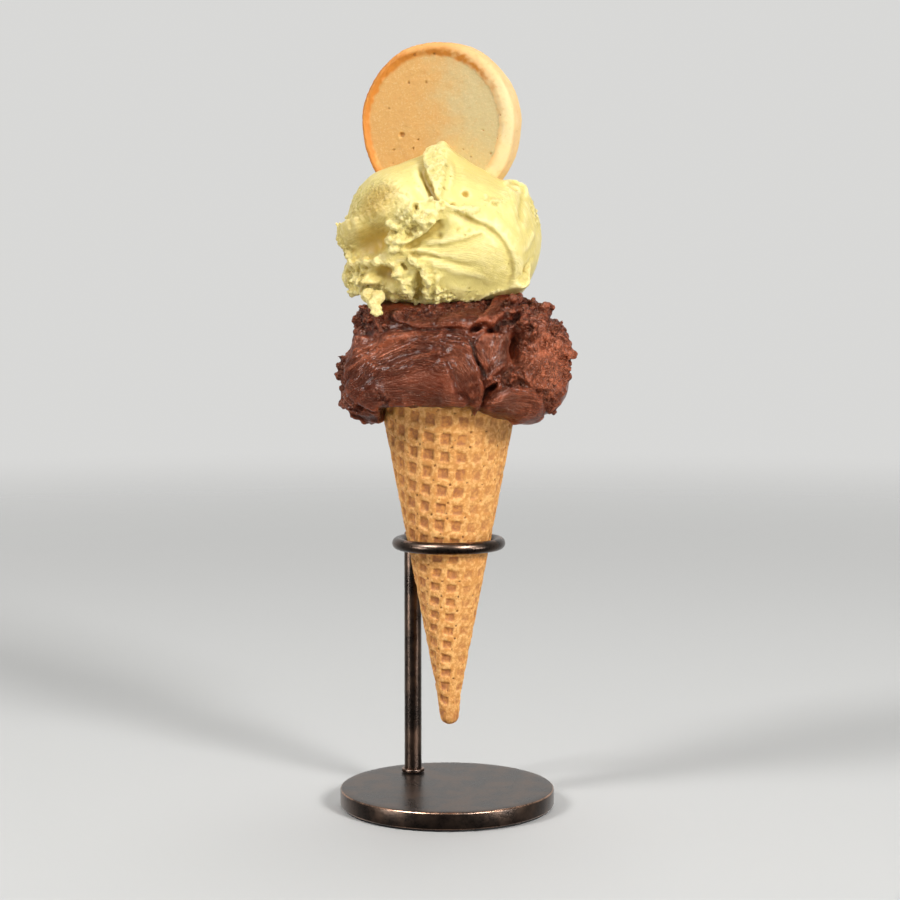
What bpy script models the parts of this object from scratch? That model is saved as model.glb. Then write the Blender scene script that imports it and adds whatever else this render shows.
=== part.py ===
"""Two-scoop gelato cone with a round shortbread, standing in a metal ring stand.

The origin is the middle of the stand's underside, +Z is up and -Y faces the viewer.
Lengths are in metres, written as millimetres times MM.
Pieces: rubber pad, weighted disc, collar, post and ring of the stand; the rolled
waffle cone; the chocolate scoop, which also fills the cone; the pistachio scoop on
top of it; and the shortbread pushed into the pistachio scoop.
"""

import math

import bmesh
import bpy
import numpy as np
from mathutils import Matrix, Vector, noise

MM = 0.001

# Gap that neighbouring solids keep.
GAP = 0.3 * MM

# Stand.
PAD_RADIUS = 38.8 * MM
PAD_HEIGHT = 0.9 * MM
DISC_RADIUS = 40.0 * MM
DISC_TOP = 7.2 * MM
DISC_EDGE = 0.6 * MM
POST_RADIUS = 3.3 * MM
POST_X, POST_Y = -13.2 * MM, 23.4 * MM
COLLAR_RADIUS = 4.4 * MM
COLLAR_HEIGHT = 1.3 * MM
RING_X, RING_Y, RING_Z = 0.6 * MM, 3.0 * MM, 98.7 * MM
RING_RADIUS = 18.95 * MM
RING_WIRE = 2.2 * MM

# Waffle cone. The wall's outside is a cone whose point would lie at APEX_Z.
CONE_X, CONE_Y = 0.9 * MM, 3.0 * MM
MOUTH_Z = 150.6 * MM
MOUTH_RADIUS = 25.9 * MM
TIP_Z = 33.6 * MM
TIP_RADIUS = 3.5 * MM
WALL = 2.6 * MM
CELL = 6.3 * MM
CELL_HEIGHT_ABOVE, CELL_HEIGHT_BELOW = 6.6 * MM, 5.5 * MM
RIB_FOOT = 1.15 * MM
CELL_DEPTH = 0.8 * MM
SEAM_STEP = 0.9 * MM
GRID_TILT = math.radians(4.2)
GRID_CROSSING = 102.6 * MM
TAPER = math.atan2(MOUTH_RADIUS - TIP_RADIUS, MOUTH_Z - TIP_Z)
APEX_Z = MOUTH_Z - MOUTH_RADIUS / math.tan(TAPER)
FULL_TURN = 2 * math.pi * math.sin(TAPER)

# Shortbread.
BISCUIT_RADIUS = 30.6 * MM
BISCUIT_THICKNESS = 9.6 * MM
BISCUIT_RIM = 3.4 * MM
BISCUIT_DISH = 1.1 * MM
BISCUIT_CENTRE = Vector((-2.3, 7.5, 253.4)) * MM
BISCUIT_TURN = math.radians(23.0)
BISCUIT_NOD = math.radians(5.0)

# Scoops. An outline is what shows from the front: degrees from +X towards +Z, and
# the distance from the scoop's middle in millimetres. A fuller scoop is boxier from
# the side; the two numbers are for its upper and its lower half.
CHOCOLATE_MIDDLE = Vector((2.0, 3.0, 166.0)) * MM
CHOCOLATE_DEPTH = 36.5 * MM
CHOCOLATE_FULLNESS = (2.9, 3.2)
CHOCOLATE_OUTLINE = (
    (0, 45), (20, 43.5), (33, 40), (60, 28), (90, 25), (120, 28), (147, 42), (165, 38.5),
    (180, 40.5), (200, 45), (212, 41), (224, 31), (236, 21), (250, 17.5), (275, 17),
    (292, 19), (306, 25), (319, 32), (333, 44), (346, 46),
)
PISTACHIO_MIDDLE = Vector((-1.5, 3.0, 214.0)) * MM
PISTACHIO_DEPTH = 34.0 * MM
PISTACHIO_FULLNESS = (2.2, 3.0)
PISTACHIO_OUTLINE = (
    (4, 37), (20, 35.5), (31, 35.5), (40, 29.5), (65, 28), (79, 30.5), (92, 34.5),
    (104, 30), (125, 30.5), (142, 35), (160, 36.5), (184, 37), (197, 36), (205, 41),
    (216, 39.5), (230, 35), (245, 31), (280, 29), (300, 30), (322, 38), (340, 37.5),
)

# Edges of the paddled layers: the face of the scoop they are on, where the edge
# runs as seen from the front (x and z in millimetres), how high the layer stands
# over what lies beside it, and how far back it swells. Going along the edge, the
# layer is on the left as seen from outside; a negative height puts it on the right.
CHOCOLATE_LAYERS = (
    ("front", ((11, 152), (12, 162), (10, 172), (4, 178), (-11, 178), (-24, 177), (-34, 170)), 4.5, 20),
    ("front", ((-20, 152), (-32, 154), (-36, 160), (-35, 168)), -1.8, 8),
    ("front", ((16, 150), (19, 160), (26, 167), (26, 174), (22, 184)), -5.5, 16),
    ("front", ((14, 154), (22, 159), (31, 157), (40, 153)), -2.5, 9),
    ("front", ((-44, 158), (-34, 153), (-22, 152), (-12, 148)), -3.0, 8),
    ("back", ((34, 168), (16, 178), (-4, 174), (-22, 180), (-38, 170)), -4.5, 18),
    ("back", ((-30, 158), (-12, 164), (10, 158), (30, 163)), -3.5, 12),
)
PISTACHIO_LAYERS = (
    ("front", ((-38, 212), (-32, 218), (-25, 222), (-16, 225), (-3, 222), (9, 223), (27, 232)), -3.8, 15),
    ("front", ((-10, 238), (-6, 231), (-3, 223)), 3.8, 9),
    ("front", ((-20, 204), (-11, 209), (-4, 216), (4, 219), (14, 217), (20, 210), (24, 201), (21, 192)), -4.2, 18),
    ("front", ((20, 211), (24, 201), (22, 193)), 3.4, 12),
    ("front", ((-38, 203), (-30, 207), (-20, 205), (-14, 198), (-13, 190)), -3.4, 13),
    ("back", ((34, 216), (16, 226), (-4, 219), (-22, 224), (-34, 214)), -4.2, 15),
    ("back", ((-28, 203), (-10, 209), (8, 200), (26, 206)), -3.4, 13),
)

# Where the gelato is crumbly: x, y and z of the middle and the reach, in millimetres.
CHOCOLATE_CRUMBS = ((40, -10, 164, 20), (-38, -8, 158, 12), (28, -16, 184, 12), (-30, 18, 160, 18))
PISTACHIO_CRUMBS = ((-30, -18, 196, 15), (-18, -30, 213, 9), (0, 30, 198, 16), (30, 12, 196, 12))
CRUMB_SIZE = 5.5 * MM
CRUMB_HEIGHT = 1.5 * MM
SCOOP_SEGMENTS, SCOOP_RINGS = 130, 80
SCOOP_TRIANGLES = 1750


def clear_scene():
    for old in list(bpy.data.objects):
        bpy.data.objects.remove(old)


def finish_of(name, colour, roughness, metallic=0.0):
    made = bpy.data.materials.new(name)
    made.use_nodes = True
    shader = made.node_tree.nodes["Principled BSDF"]
    shader.inputs["Base Color"].default_value = (*colour, 1.0)
    shader.inputs["Roughness"].default_value = roughness
    shader.inputs["Metallic"].default_value = metallic
    made.diffuse_color = (*colour, 1.0)
    return made


def add_object(name, mesh, material, smooth_below=math.radians(35)):
    """Turn a finished bmesh into a named object, shaded smooth up to that angle."""
    bmesh.ops.recalc_face_normals(mesh, faces=mesh.faces)
    data = bpy.data.meshes.new(name)
    mesh.to_mesh(data)
    mesh.free()
    data.shade_smooth()
    data.set_sharp_from_angle(angle=smooth_below)
    if material:
        data.materials.append(material)
    made = bpy.data.objects.new(name, data)
    bpy.context.scene.collection.objects.link(made)
    return made


def hide_cutter(cutter):
    cutter.hide_render = True
    cutter.display_type = "WIRE"
    return cutter


def boolean(target, operation, other):
    step = target.modifiers.new(f"{operation.lower()}_{other.name}", "BOOLEAN")
    step.operation = operation
    step.solver = "EXACT"
    step.object = other


def turned(profile, steps, centre=(0.0, 0.0)):
    """Spin a profile of (radius, height) points, whose ends lie on the axis."""
    mesh = bmesh.new()
    verts = [mesh.verts.new((radius, 0.0, height)) for radius, height in profile]
    edges = [mesh.edges.new(pair) for pair in zip(verts, verts[1:])]
    bmesh.ops.spin(
        mesh,
        geom=verts + edges,
        cent=(0, 0, 0),
        axis=(0, 0, 1),
        angle=2 * math.pi,
        steps=steps,
        use_merge=True,
    )
    bmesh.ops.remove_doubles(mesh, verts=mesh.verts, dist=1e-6)
    bmesh.ops.translate(mesh, verts=mesh.verts, vec=(*centre, 0.0))
    return mesh


def arc(radius, height, size, start, end, steps):
    """Points of a quarter round, or any arc, in a profile."""
    angles = [start + (end - start) * i / steps for i in range(steps + 1)]
    return [(radius + size * math.cos(a), height + size * math.sin(a)) for a in angles]


# Stand -------------------------------------------------------------------------


def make_pad(material):
    profile = [(0, 0), (PAD_RADIUS, 0), (PAD_RADIUS, PAD_HEIGHT - GAP), (0, PAD_HEIGHT - GAP)]
    return add_object("foot_pad", turned(profile, 36), material)


def make_disc(material):
    lower, upper = PAD_HEIGHT, DISC_TOP
    inner = DISC_RADIUS - DISC_EDGE
    profile = [(0, lower)]
    profile += arc(inner, lower + DISC_EDGE, DISC_EDGE, -math.pi / 2, 0, 1)
    profile += arc(inner, upper - DISC_EDGE, DISC_EDGE, 0, math.pi / 2, 2)
    profile += [(0, upper)]
    return add_object("stand_disc", turned(profile, 40), material)


def make_collar(material):
    """A thin turned ring round the foot of the post."""
    bottom = DISC_TOP + GAP
    top = bottom + COLLAR_HEIGHT
    inside = POST_RADIUS + GAP
    corner = 0.35 * MM
    profile = [(inside, bottom)]
    profile += arc(COLLAR_RADIUS - corner, bottom + corner, corner, -math.pi / 2, 0, 2)
    profile += arc(COLLAR_RADIUS - corner, top - corner, corner, 0, math.pi / 2, 2)
    profile += [(inside, top), (inside, bottom)]
    return add_object("post_collar", turned(profile, 16, (POST_X, POST_Y)), material)


def make_post(material):
    """The upright, rounded over at the top where the ring is brazed to its side."""
    bottom = DISC_TOP + GAP
    top = RING_Z + RING_WIRE
    round_over = 1.1 * MM
    profile = [(0, bottom), (POST_RADIUS, bottom)]
    profile += arc(POST_RADIUS - round_over, top - round_over, round_over, 0, math.pi / 2, 2)
    profile += [(0, top)]
    return add_object("stand_post", turned(profile, 16, (POST_X, POST_Y)), material)


def make_ring(material):
    """The closed wire ring that the cone hangs in."""
    mesh = bmesh.new()
    circle = bmesh.ops.create_circle(mesh, cap_ends=False, segments=8, radius=RING_WIRE)
    upright = Matrix.Translation((RING_RADIUS, 0, 0)) @ Matrix.Rotation(math.pi / 2, 4, "X")
    bmesh.ops.transform(mesh, matrix=upright, verts=circle["verts"])
    bmesh.ops.spin(
        mesh,
        geom=mesh.verts[:] + mesh.edges[:],
        cent=(0, 0, 0),
        axis=(0, 0, 1),
        angle=2 * math.pi,
        steps=32,
        use_merge=True,
    )
    bmesh.ops.remove_doubles(mesh, verts=mesh.verts, dist=1e-6)
    bmesh.ops.translate(mesh, verts=mesh.verts, vec=(RING_X, RING_Y, RING_Z))
    return add_object("stand_ring", mesh, material)


# Waffle cone -------------------------------------------------------------------


def seam_angle(slant):
    """Where the free edge of the rolled sheet lies, as an angle on the flat sheet.

    The edge is straight on the flat sheet and runs a little across the cone.
    """
    foot_offset, lean = -1.2 * MM, math.radians(12.4)
    return lean + math.asin(max(-1.0, min(1.0, foot_offset * math.cos(lean) / slant)))


def flat_sheet():
    """The unrolled wafer: a sector between the tip and the mouth, one turn wide."""
    mesh = bmesh.new()
    short = TIP_RADIUS / math.sin(TAPER)
    long = MOUTH_RADIUS / math.sin(TAPER)
    columns = 18
    slants = [short, long]

    def point(slant, turn):
        angle = seam_angle(slant) + FULL_TURN * turn
        return mesh.verts.new((slant * math.sin(angle), slant * math.cos(angle), 0.0))

    start = [point(slant, 0.0) for slant in slants]
    mouth = [point(long, i / columns) for i in range(1, columns)]
    end = [point(slant, 1.0) for slant in reversed(slants)]
    tip = [point(short, 1 - i / 12) for i in range(1, 12)]
    sheet = mesh.faces.new(start + mouth + end + tip)
    sheet.normal_update()
    if sheet.normal.z < 0:
        sheet.normal_flip()
    return mesh


def cut_along(mesh, point, normal, faces=None):
    chosen = faces if faces is not None else mesh.faces[:]
    edges = {edge for face in chosen for edge in face.edges}
    verts = {vert for face in chosen for vert in face.verts}
    bmesh.ops.bisect_plane(
        mesh,
        geom=list(verts) + list(edges) + list(chosen),
        dist=1e-6,
        plane_co=point,
        plane_no=normal,
    )


def cross_rib(index):
    """How far up the sheet this cross rib lies from the crossing, closer near the tip."""
    changes_at = -3
    below = min(0, index - changes_at)
    return (index - below) * CELL_HEIGHT_ABOVE + below * CELL_HEIGHT_BELOW


def emboss(mesh):
    """Cut the sheet along the waffle iron's grid and press every cell in."""
    upward = FULL_TURN + GRID_TILT
    rib = Vector((math.sin(upward), math.cos(upward), 0))
    across = Vector((rib.y, -rib.x, 0))
    crossing = Vector((math.sin(FULL_TURN), math.cos(FULL_TURN), 0)) * GRID_CROSSING
    reach = int(MOUTH_RADIUS / math.sin(TAPER) * 1.5 / CELL)
    for i in range(-reach, reach + 1):
        cut_along(mesh, crossing + across * CELL * i, across)
        cut_along(mesh, crossing + rib * cross_rib(i), rib)
    cells = []
    for face in mesh.faces:
        compact = 4 * math.pi * face.calc_area() / face.calc_perimeter() ** 2
        if face.calc_area() > 0.5 * CELL**2 and compact > 0.6:
            cells.append(face)
    bmesh.ops.inset_individual(
        mesh, faces=cells, thickness=RIB_FOOT, depth=-CELL_DEPTH, use_even_offset=True
    )


def add_creases(mesh):
    """Cut the narrow end along lines to the point, so that it rolls up round."""
    narrow = 9.0 * MM / math.sin(TAPER)
    creases = 10
    for i in range(1, creases):
        angle = FULL_TURN * i / creases
        faces = [face for face in mesh.faces if face.calc_center_median().length < narrow]
        cut_along(mesh, (0, 0, 0), (math.cos(angle), -math.sin(angle), 0), faces)


def roll_up(mesh):
    """Roll the flat sheet into the cone, its last part lying over its first."""
    for vert in mesh.verts:
        slant = math.hypot(vert.co.x, vert.co.y)
        flat_angle = math.atan2(vert.co.x, vert.co.y)
        turn = (flat_angle - seam_angle(slant)) / FULL_TURN
        fade = min(1.0, max(0.0, (slant * math.sin(TAPER) - TIP_RADIUS) / (9 * MM)))
        proud = vert.co.z - SEAM_STEP * fade * (1 - turn)
        azimuth = flat_angle / math.sin(TAPER)
        radius = slant * math.sin(TAPER) + proud * math.cos(TAPER)
        height = APEX_Z + slant * math.cos(TAPER) - proud * math.sin(TAPER)
        vert.co = (
            CONE_X + radius * math.sin(azimuth),
            CONE_Y - radius * math.cos(azimuth),
            height,
        )


def close_shell(mesh):
    """Join the seam, round off the tip and add the inside of the wall."""
    axis = Vector((CONE_X, CONE_Y, 0))
    open_edges = [edge for edge in mesh.edges if edge.is_boundary]

    def level(edge):
        return (edge.verts[0].co.z + edge.verts[1].co.z) / 2

    def is_rim(edge, height):
        return all(abs(vert.co.z - height) < 0.6 * MM for vert in edge.verts)

    seam = [e for e in open_edges if not is_rim(e, MOUTH_Z) and not is_rim(e, TIP_Z)]
    bmesh.ops.bridge_loops(mesh, edges=seam)
    rims = [edge for edge in mesh.edges if edge.is_boundary]
    tip = [edge for edge in rims if level(edge) < (MOUTH_Z + TIP_Z) / 2]
    mouth = [edge for edge in rims if level(edge) > (MOUTH_Z + TIP_Z) / 2]

    def extrude_loop(loop, place):
        grown = bmesh.ops.extrude_edge_only(mesh, edges=loop)["geom"]
        for vert in (item for item in grown if isinstance(item, bmesh.types.BMVert)):
            outward = Vector((vert.co.x, vert.co.y, 0)) - axis
            radius, height = place(outward.length, vert.co.z)
            vert.co = axis + outward.normalized() * radius + Vector((0, 0, height))
        return [item for item in grown if isinstance(item, bmesh.types.BMEdge)]

    for degrees in (30, 55, 76):
        turn = math.radians(degrees)
        share = (math.cos(turn), 0.95 * TIP_RADIUS * math.sin(turn))
        tip = extrude_loop(tip, lambda r, z, s=share: (TIP_RADIUS * s[0], TIP_Z - s[1]))
    bmesh.ops.edgeloop_fill(mesh, edges=tip)
    inner_mouth = MOUTH_RADIUS - WALL
    inner_tip_z = TIP_Z + 2 * WALL
    inner_tip = inner_mouth - (MOUTH_Z - inner_tip_z) * math.tan(TAPER)
    mouth = extrude_loop(mouth, lambda r, z: (inner_mouth, z))
    mouth = extrude_loop(mouth, lambda r, z: (inner_tip, inner_tip_z))
    bmesh.ops.edgeloop_fill(mesh, edges=mouth)


def make_cone(material):
    mesh = flat_sheet()
    emboss(mesh)
    add_creases(mesh)
    roll_up(mesh)
    close_shell(mesh)
    bmesh.ops.triangulate(mesh, faces=mesh.faces)
    return add_object("waffle_cone", mesh, material)


def cone_frustum(name, outset, bottom_z, top_z):
    """A plain solid of the cone's taper, grown outwards by outset, as a helper."""
    slope = math.tan(TAPER)
    low = (bottom_z - APEX_Z) * slope + outset
    high = (top_z - APEX_Z) * slope + outset
    profile = [(0, bottom_z), (low, bottom_z), (high, top_z), (0, top_z)]
    mesh = turned(profile, 36, (CONE_X, CONE_Y))
    return hide_cutter(add_object(name, mesh, None))


# Shortbread --------------------------------------------------------------------


def biscuit_profile(grow=0.0):
    """Half of the cross-section, from the back's middle round to the face's."""
    half = BISCUIT_THICKNESS / 2
    radius = BISCUIT_RADIUS + grow
    back = -half - grow
    front = half + grow
    corner = 1.6 * MM
    profile = [(0, back), (radius - corner, back), (radius, back + corner)]
    profile += arc(radius - corner, front - corner, corner, 0, math.pi / 2, 2)
    if grow:
        return profile + [(0, front)]
    inner = radius - BISCUIT_RIM
    floor = front - BISCUIT_DISH
    return profile + [(inner, front), (inner - 1.4 * MM, floor), (0, floor)]


def place_biscuit(mesh):
    """Stand the turned disc up, facing the viewer, then turn and nod it."""
    stand_up = Matrix.Rotation(math.pi / 2, 4, "X")
    nod = Matrix.Rotation(BISCUIT_NOD, 4, "X")
    turn = Matrix.Rotation(-BISCUIT_TURN, 4, "Z")
    place = Matrix.Translation(BISCUIT_CENTRE)
    bmesh.ops.transform(mesh, matrix=place @ turn @ nod @ stand_up, verts=mesh.verts)


def make_biscuit(material):
    mesh = turned(biscuit_profile(), 36)
    for vert in mesh.verts:
        around = math.atan2(vert.co.y, vert.co.x)
        uneven = 1 + 0.006 * math.sin(3 * around + 0.6) + 0.004 * math.sin(7 * around)
        vert.co.x *= uneven
        vert.co.y *= uneven
    place_biscuit(mesh)
    return add_object("shortbread", mesh, material)


# Scoops ------------------------------------------------------------------------


def outline_radius(outline, angles):
    """Radius of the smoothed outline at these angles, in metres."""
    degrees, radii = zip(*outline)
    every = np.arange(360)
    plain = np.interp(every, degrees, radii, period=360)
    spread = 4
    kernel = np.exp(-0.5 * (np.arange(-3 * spread, 3 * spread + 1) / spread) ** 2)
    wrapped = np.concatenate([plain[-3 * spread :], plain, plain[: 3 * spread]])
    smooth = np.convolve(wrapped, kernel / kernel.sum(), mode="valid")
    return np.interp(np.degrees(angles), every, smooth, period=360) * MM


def plain_surface(away, depth, fullness, outline):
    """Points where rays from the scoop's middle leave the plain scoop."""
    side_on = np.hypot(away[:, 0], away[:, 2])
    across = side_on / outline_radius(outline, np.arctan2(away[:, 2], away[:, 0]))
    deep = np.abs(away[:, 1]) / depth
    upper, lower = fullness
    up = away[:, 2] / np.linalg.norm(away, axis=1)
    power = upper + (lower - upper) / (1 + np.exp(8 * up))
    return away / ((across**power + deep**power) ** (1 / power))[:, None]


def layer_edge(points, face, middle, depth, fullness, outline):
    """The layer's edge on the plain scoop, as many points from its middle."""
    rough = (np.array(points, float) * MM - np.array((middle.x, middle.z))).T
    steps = np.linspace(0, len(points) - 1, 10 * (len(points) - 1) + 1)
    x, z = (np.interp(steps, range(len(points)), row) for row in rough)
    inside = np.hypot(x, z) / outline_radius(outline, np.arctan2(z, x))
    shrink = np.minimum(1.0, 0.97 / inside)
    low, high = np.zeros(len(x)), np.full(len(x), 2.0)
    side = -1.0 if face == "front" else 1.0
    for _ in range(24):
        guess = (low + high) / 2
        ray = np.column_stack([x * shrink, side * guess * depth, z * shrink])
        reached = plain_surface(ray, depth, fullness, outline)
        beyond = np.linalg.norm(ray, axis=1) > np.linalg.norm(reached, axis=1)
        low, high = np.where(beyond, low, guess), np.where(beyond, guess, high)
    return np.column_stack([x * shrink, side * low * depth, z * shrink])


def layer_lift(points, edge, height, reach):
    """How far the layer lifts each point, fading with distance behind its edge."""
    apart = points[:, None, :] - edge[None, :, :]
    nearest = np.argmin((apart**2).sum(axis=2), axis=1)
    along = np.gradient(edge, axis=0)[nearest]
    offset = apart[np.arange(len(points)), nearest]
    leftward = np.cross(points, along)
    leftward /= np.linalg.norm(leftward, axis=1)[:, None]
    beside = (offset * leftward).sum(axis=1) * np.sign(height)
    distance = np.linalg.norm(offset, axis=1)
    lip = 0.5 * MM
    step = 1 / (1 + np.exp(-np.clip(beside / lip, -30, 30)))
    groove = 0.35 * np.exp(-((distance / (2.5 * MM)) ** 2)) * (1 - step)
    return abs(height) * MM * (step * np.exp(-((distance / (reach * MM)) ** 2)) - groove)


def crumb_lift(points, zones):
    """Rough lumps where the gelato is crumbly, and slight waves elsewhere."""
    lift = np.zeros(len(points))
    for i, point in enumerate(points):
        spot = Vector(point)
        near = 0.12
        for x, y, z, reach in zones:
            away = (spot - Vector((x, y, z)) * MM).length / (reach * MM)
            near = max(near, math.exp(-(away**2)))
        lift[i] = near * CRUMB_HEIGHT * noise.turbulence(spot / CRUMB_SIZE, 2, False)
    return lift


def scoop_mesh(middle, depth, fullness, outline, layers, crumbs):
    """A paddled scoop: the outline swept into a body, with its layers raised."""
    mesh = bmesh.new()
    bmesh.ops.create_uvsphere(
        mesh, u_segments=SCOOP_SEGMENTS, v_segments=SCOOP_RINGS, radius=1.0
    )
    away = np.array([vert.co for vert in mesh.verts])
    plain = plain_surface(away, depth, fullness, outline)
    heights = [abs(height) for _, _, height, _ in layers]
    lift = np.full(len(plain), -0.3 * MM * sum(heights) / len(heights))
    for face, points, height, reach in layers:
        edge = layer_edge(points, face, middle, depth, fullness, outline)
        lift += layer_lift(plain, edge, height, reach)
    lift += crumb_lift(plain + np.array(middle), crumbs)
    for vert, spot in zip(mesh.verts, plain + away * lift[:, None]):
        vert.co = middle + Vector(spot)
    return mesh


def simplify(made):
    step = made.modifiers.new("simplify", "DECIMATE")
    step.ratio = SCOOP_TRIANGLES / (2 * SCOOP_SEGMENTS * (SCOOP_RINGS - 1))
    step.use_collapse_triangulate = True


CHOCOLATE = (
    CHOCOLATE_MIDDLE,
    CHOCOLATE_DEPTH,
    CHOCOLATE_FULLNESS,
    CHOCOLATE_OUTLINE,
    CHOCOLATE_LAYERS,
    CHOCOLATE_CRUMBS,
)
PISTACHIO = (
    PISTACHIO_MIDDLE,
    PISTACHIO_DEPTH,
    PISTACHIO_FULLNESS,
    PISTACHIO_OUTLINE,
    PISTACHIO_LAYERS,
    PISTACHIO_CRUMBS,
)


def make_chocolate(material):
    """The lower scoop, pressed over the cone's mouth and down into the cone."""
    smooth_below = math.radians(60)
    made = add_object("chocolate_scoop", scoop_mesh(*CHOCOLATE), material, smooth_below)
    cone_space = cone_frustum("cone_space", GAP, APEX_Z + 15 * MM, MOUTH_Z + 2 * GAP)
    inner_tip = TIP_Z + 2 * WALL + GAP
    filling = cone_frustum("cone_filling", -WALL - GAP, inner_tip, MOUTH_Z + 5 * MM)
    simplify(made)
    boolean(made, "DIFFERENCE", cone_space)
    boolean(made, "UNION", filling)
    return made


def make_pistachio(material):
    """The upper scoop, sitting on the chocolate with the shortbread pushed in."""
    smooth_below = math.radians(60)
    made = add_object("pistachio_scoop", scoop_mesh(*PISTACHIO), material, smooth_below)
    seat = hide_cutter(add_object("chocolate_seat", scoop_mesh(*CHOCOLATE), None))
    simplify(seat)
    clearance = seat.modifiers.new("clearance", "DISPLACE")
    clearance.mid_level = 0.0
    clearance.strength = 1.5 * GAP
    slot_mesh = turned(biscuit_profile(grow=GAP), 40)
    place_biscuit(slot_mesh)
    slot = hide_cutter(add_object("biscuit_slot", slot_mesh, None))
    simplify(made)
    boolean(made, "DIFFERENCE", seat)
    boolean(made, "DIFFERENCE", slot)
    return made


def main():
    clear_scene()
    bronze = finish_of("dark_bronze", (0.075, 0.062, 0.055), 0.34, 1.0)
    rubber = finish_of("black_rubber", (0.012, 0.012, 0.012), 0.8)
    wafer = finish_of("baked_wafer", (0.72, 0.42, 0.18), 0.62)
    shortbread = finish_of("shortbread", (0.80, 0.56, 0.27), 0.7)
    chocolate = finish_of("chocolate_gelato", (0.13, 0.040, 0.024), 0.32)
    pistachio = finish_of("pistachio_gelato", (0.74, 0.69, 0.30), 0.5)
    make_pad(rubber)
    make_disc(bronze)
    make_collar(bronze)
    make_post(bronze)
    make_ring(bronze)
    make_cone(wafer)
    make_chocolate(chocolate)
    make_pistachio(pistachio)
    make_biscuit(shortbread)


main()
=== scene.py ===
"""The looks of a two-scoop gelato cone with a round shortbread, in its metal ring stand.

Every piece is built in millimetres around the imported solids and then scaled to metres.
+Z is up and -Y faces the viewer.
"""

import itertools
import logging
import math
from abc import ABC, abstractmethod
from dataclasses import dataclass, field
from enum import Enum

import bmesh
import bpy
import numpy as np
from bmesh.types import BMesh
from bpy.types import Material, Mesh, NodeSocket, Object
from mathutils import Euler, Matrix, Vector


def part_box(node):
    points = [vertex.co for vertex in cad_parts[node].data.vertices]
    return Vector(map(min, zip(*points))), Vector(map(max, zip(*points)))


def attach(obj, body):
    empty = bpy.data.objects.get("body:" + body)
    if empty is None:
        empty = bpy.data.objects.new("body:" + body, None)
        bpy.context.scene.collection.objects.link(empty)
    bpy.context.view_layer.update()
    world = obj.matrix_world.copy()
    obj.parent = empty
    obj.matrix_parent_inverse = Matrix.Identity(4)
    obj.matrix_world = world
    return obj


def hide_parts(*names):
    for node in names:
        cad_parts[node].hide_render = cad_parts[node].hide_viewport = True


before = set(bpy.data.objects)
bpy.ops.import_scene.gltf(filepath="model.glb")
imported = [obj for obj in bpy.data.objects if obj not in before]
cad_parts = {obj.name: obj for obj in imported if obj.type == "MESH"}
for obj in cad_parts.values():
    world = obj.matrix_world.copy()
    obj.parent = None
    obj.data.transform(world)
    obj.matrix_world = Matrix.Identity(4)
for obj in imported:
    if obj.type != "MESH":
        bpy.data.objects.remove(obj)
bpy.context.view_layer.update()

MM = 0.001
log = logging.getLogger("gelato_cone")

Array = np.ndarray
Pair = tuple[float, float]
Triple = tuple[float, float, float]
Path = tuple[Pair, ...]


# Noise


class Grain:
    """Seeded smooth noise and random cells, both read at points in space."""

    def __init__(self, seed: int) -> None:
        """Draws the tables that every reading comes from.

        Args:
            seed: Picks one pattern; the same seed always gives the same one.
        """
        draw = np.random.default_rng(seed)
        self._order = draw.permutation(256)
        slopes = draw.normal(size=(256, 3))
        self._slopes = slopes / np.linalg.norm(slopes, axis=1)[:, None]
        self._spots = draw.random((256, 3))

    def _slot(self, cell: Array) -> Array:
        """Table row of each whole-numbered cell."""
        order = self._order
        return order[(order[(order[cell[:, 0] & 255] + cell[:, 1]) & 255] + cell[:, 2]) & 255]

    def smooth(self, points: Array) -> Array:
        """Gentle noise with one bump or so per unit.

        Args:
            points: Where to read it, one row each.

        Returns:
            A value from about -1 to 1 for each point.
        """
        cell = np.floor(points).astype(int)
        inside = points - cell
        ease = inside**3 * (inside * (inside * 6 - 15) + 10)
        total = np.zeros(len(points))
        for corner in itertools.product((0, 1), repeat=3):
            slope = self._slopes[self._slot(cell + np.array(corner))]
            weight = np.prod(np.where(np.array(corner), ease, 1 - ease), axis=1)
            total += weight * ((inside - np.array(corner)) * slope).sum(axis=1)
        return total * 1.6

    def layered(self, points: Array, octaves: int = 3) -> Array:
        """Noise with finer noise on top of it.

        Args:
            points: Where to read it.
            octaves: How many times the noise is halved in size and added.

        Returns:
            A value from about -1 to 1 for each point.
        """
        return sum(self.smooth(points * 2**i + 7.3 * i) / 2**i for i in range(octaves)) / 1.5

    def cells(self, points: Array) -> tuple[Array, Array, Array, Array]:
        """Random spots, about one to a unit cube, and how the points lie among them.

        Args:
            points: Where to read them.

        Returns:
            Distance to the nearest spot, distance to the second, the way from the
            nearest spot, and a random number that belongs to it.
        """
        cell = np.floor(points).astype(int)
        first = np.full(len(points), 9.0)
        second = np.full(len(points), 9.0)
        way = np.zeros_like(points)
        chance = np.zeros(len(points))
        for corner in itertools.product((-1, 0, 1), repeat=3):
            slot = self._slot(cell + np.array(corner))
            away = points - (cell + np.array(corner) + self._spots[slot])
            far = np.linalg.norm(away, axis=1)
            nearer = far < first
            second = np.where(nearer, first, np.minimum(second, far))
            first = np.where(nearer, far, first)
            way[nearer] = away[nearer]
            chance[nearer] = slot[nearer] / 255
        return first, second, way, chance


def ease(value: Array | float, low: float = 0.0, high: float = 1.0) -> Array:
    """A smooth rise from 0 at low to 1 at high."""
    share = np.clip((np.asarray(value, float) - low) / (high - low), 0, 1)
    return share * share * (3 - 2 * share)


def bell(value: Array | float, width: float) -> Array:
    """1 at zero, falling to almost nothing at twice the width."""
    return np.exp(-((np.asarray(value, float) / width) ** 2))


# Shader boards


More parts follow.
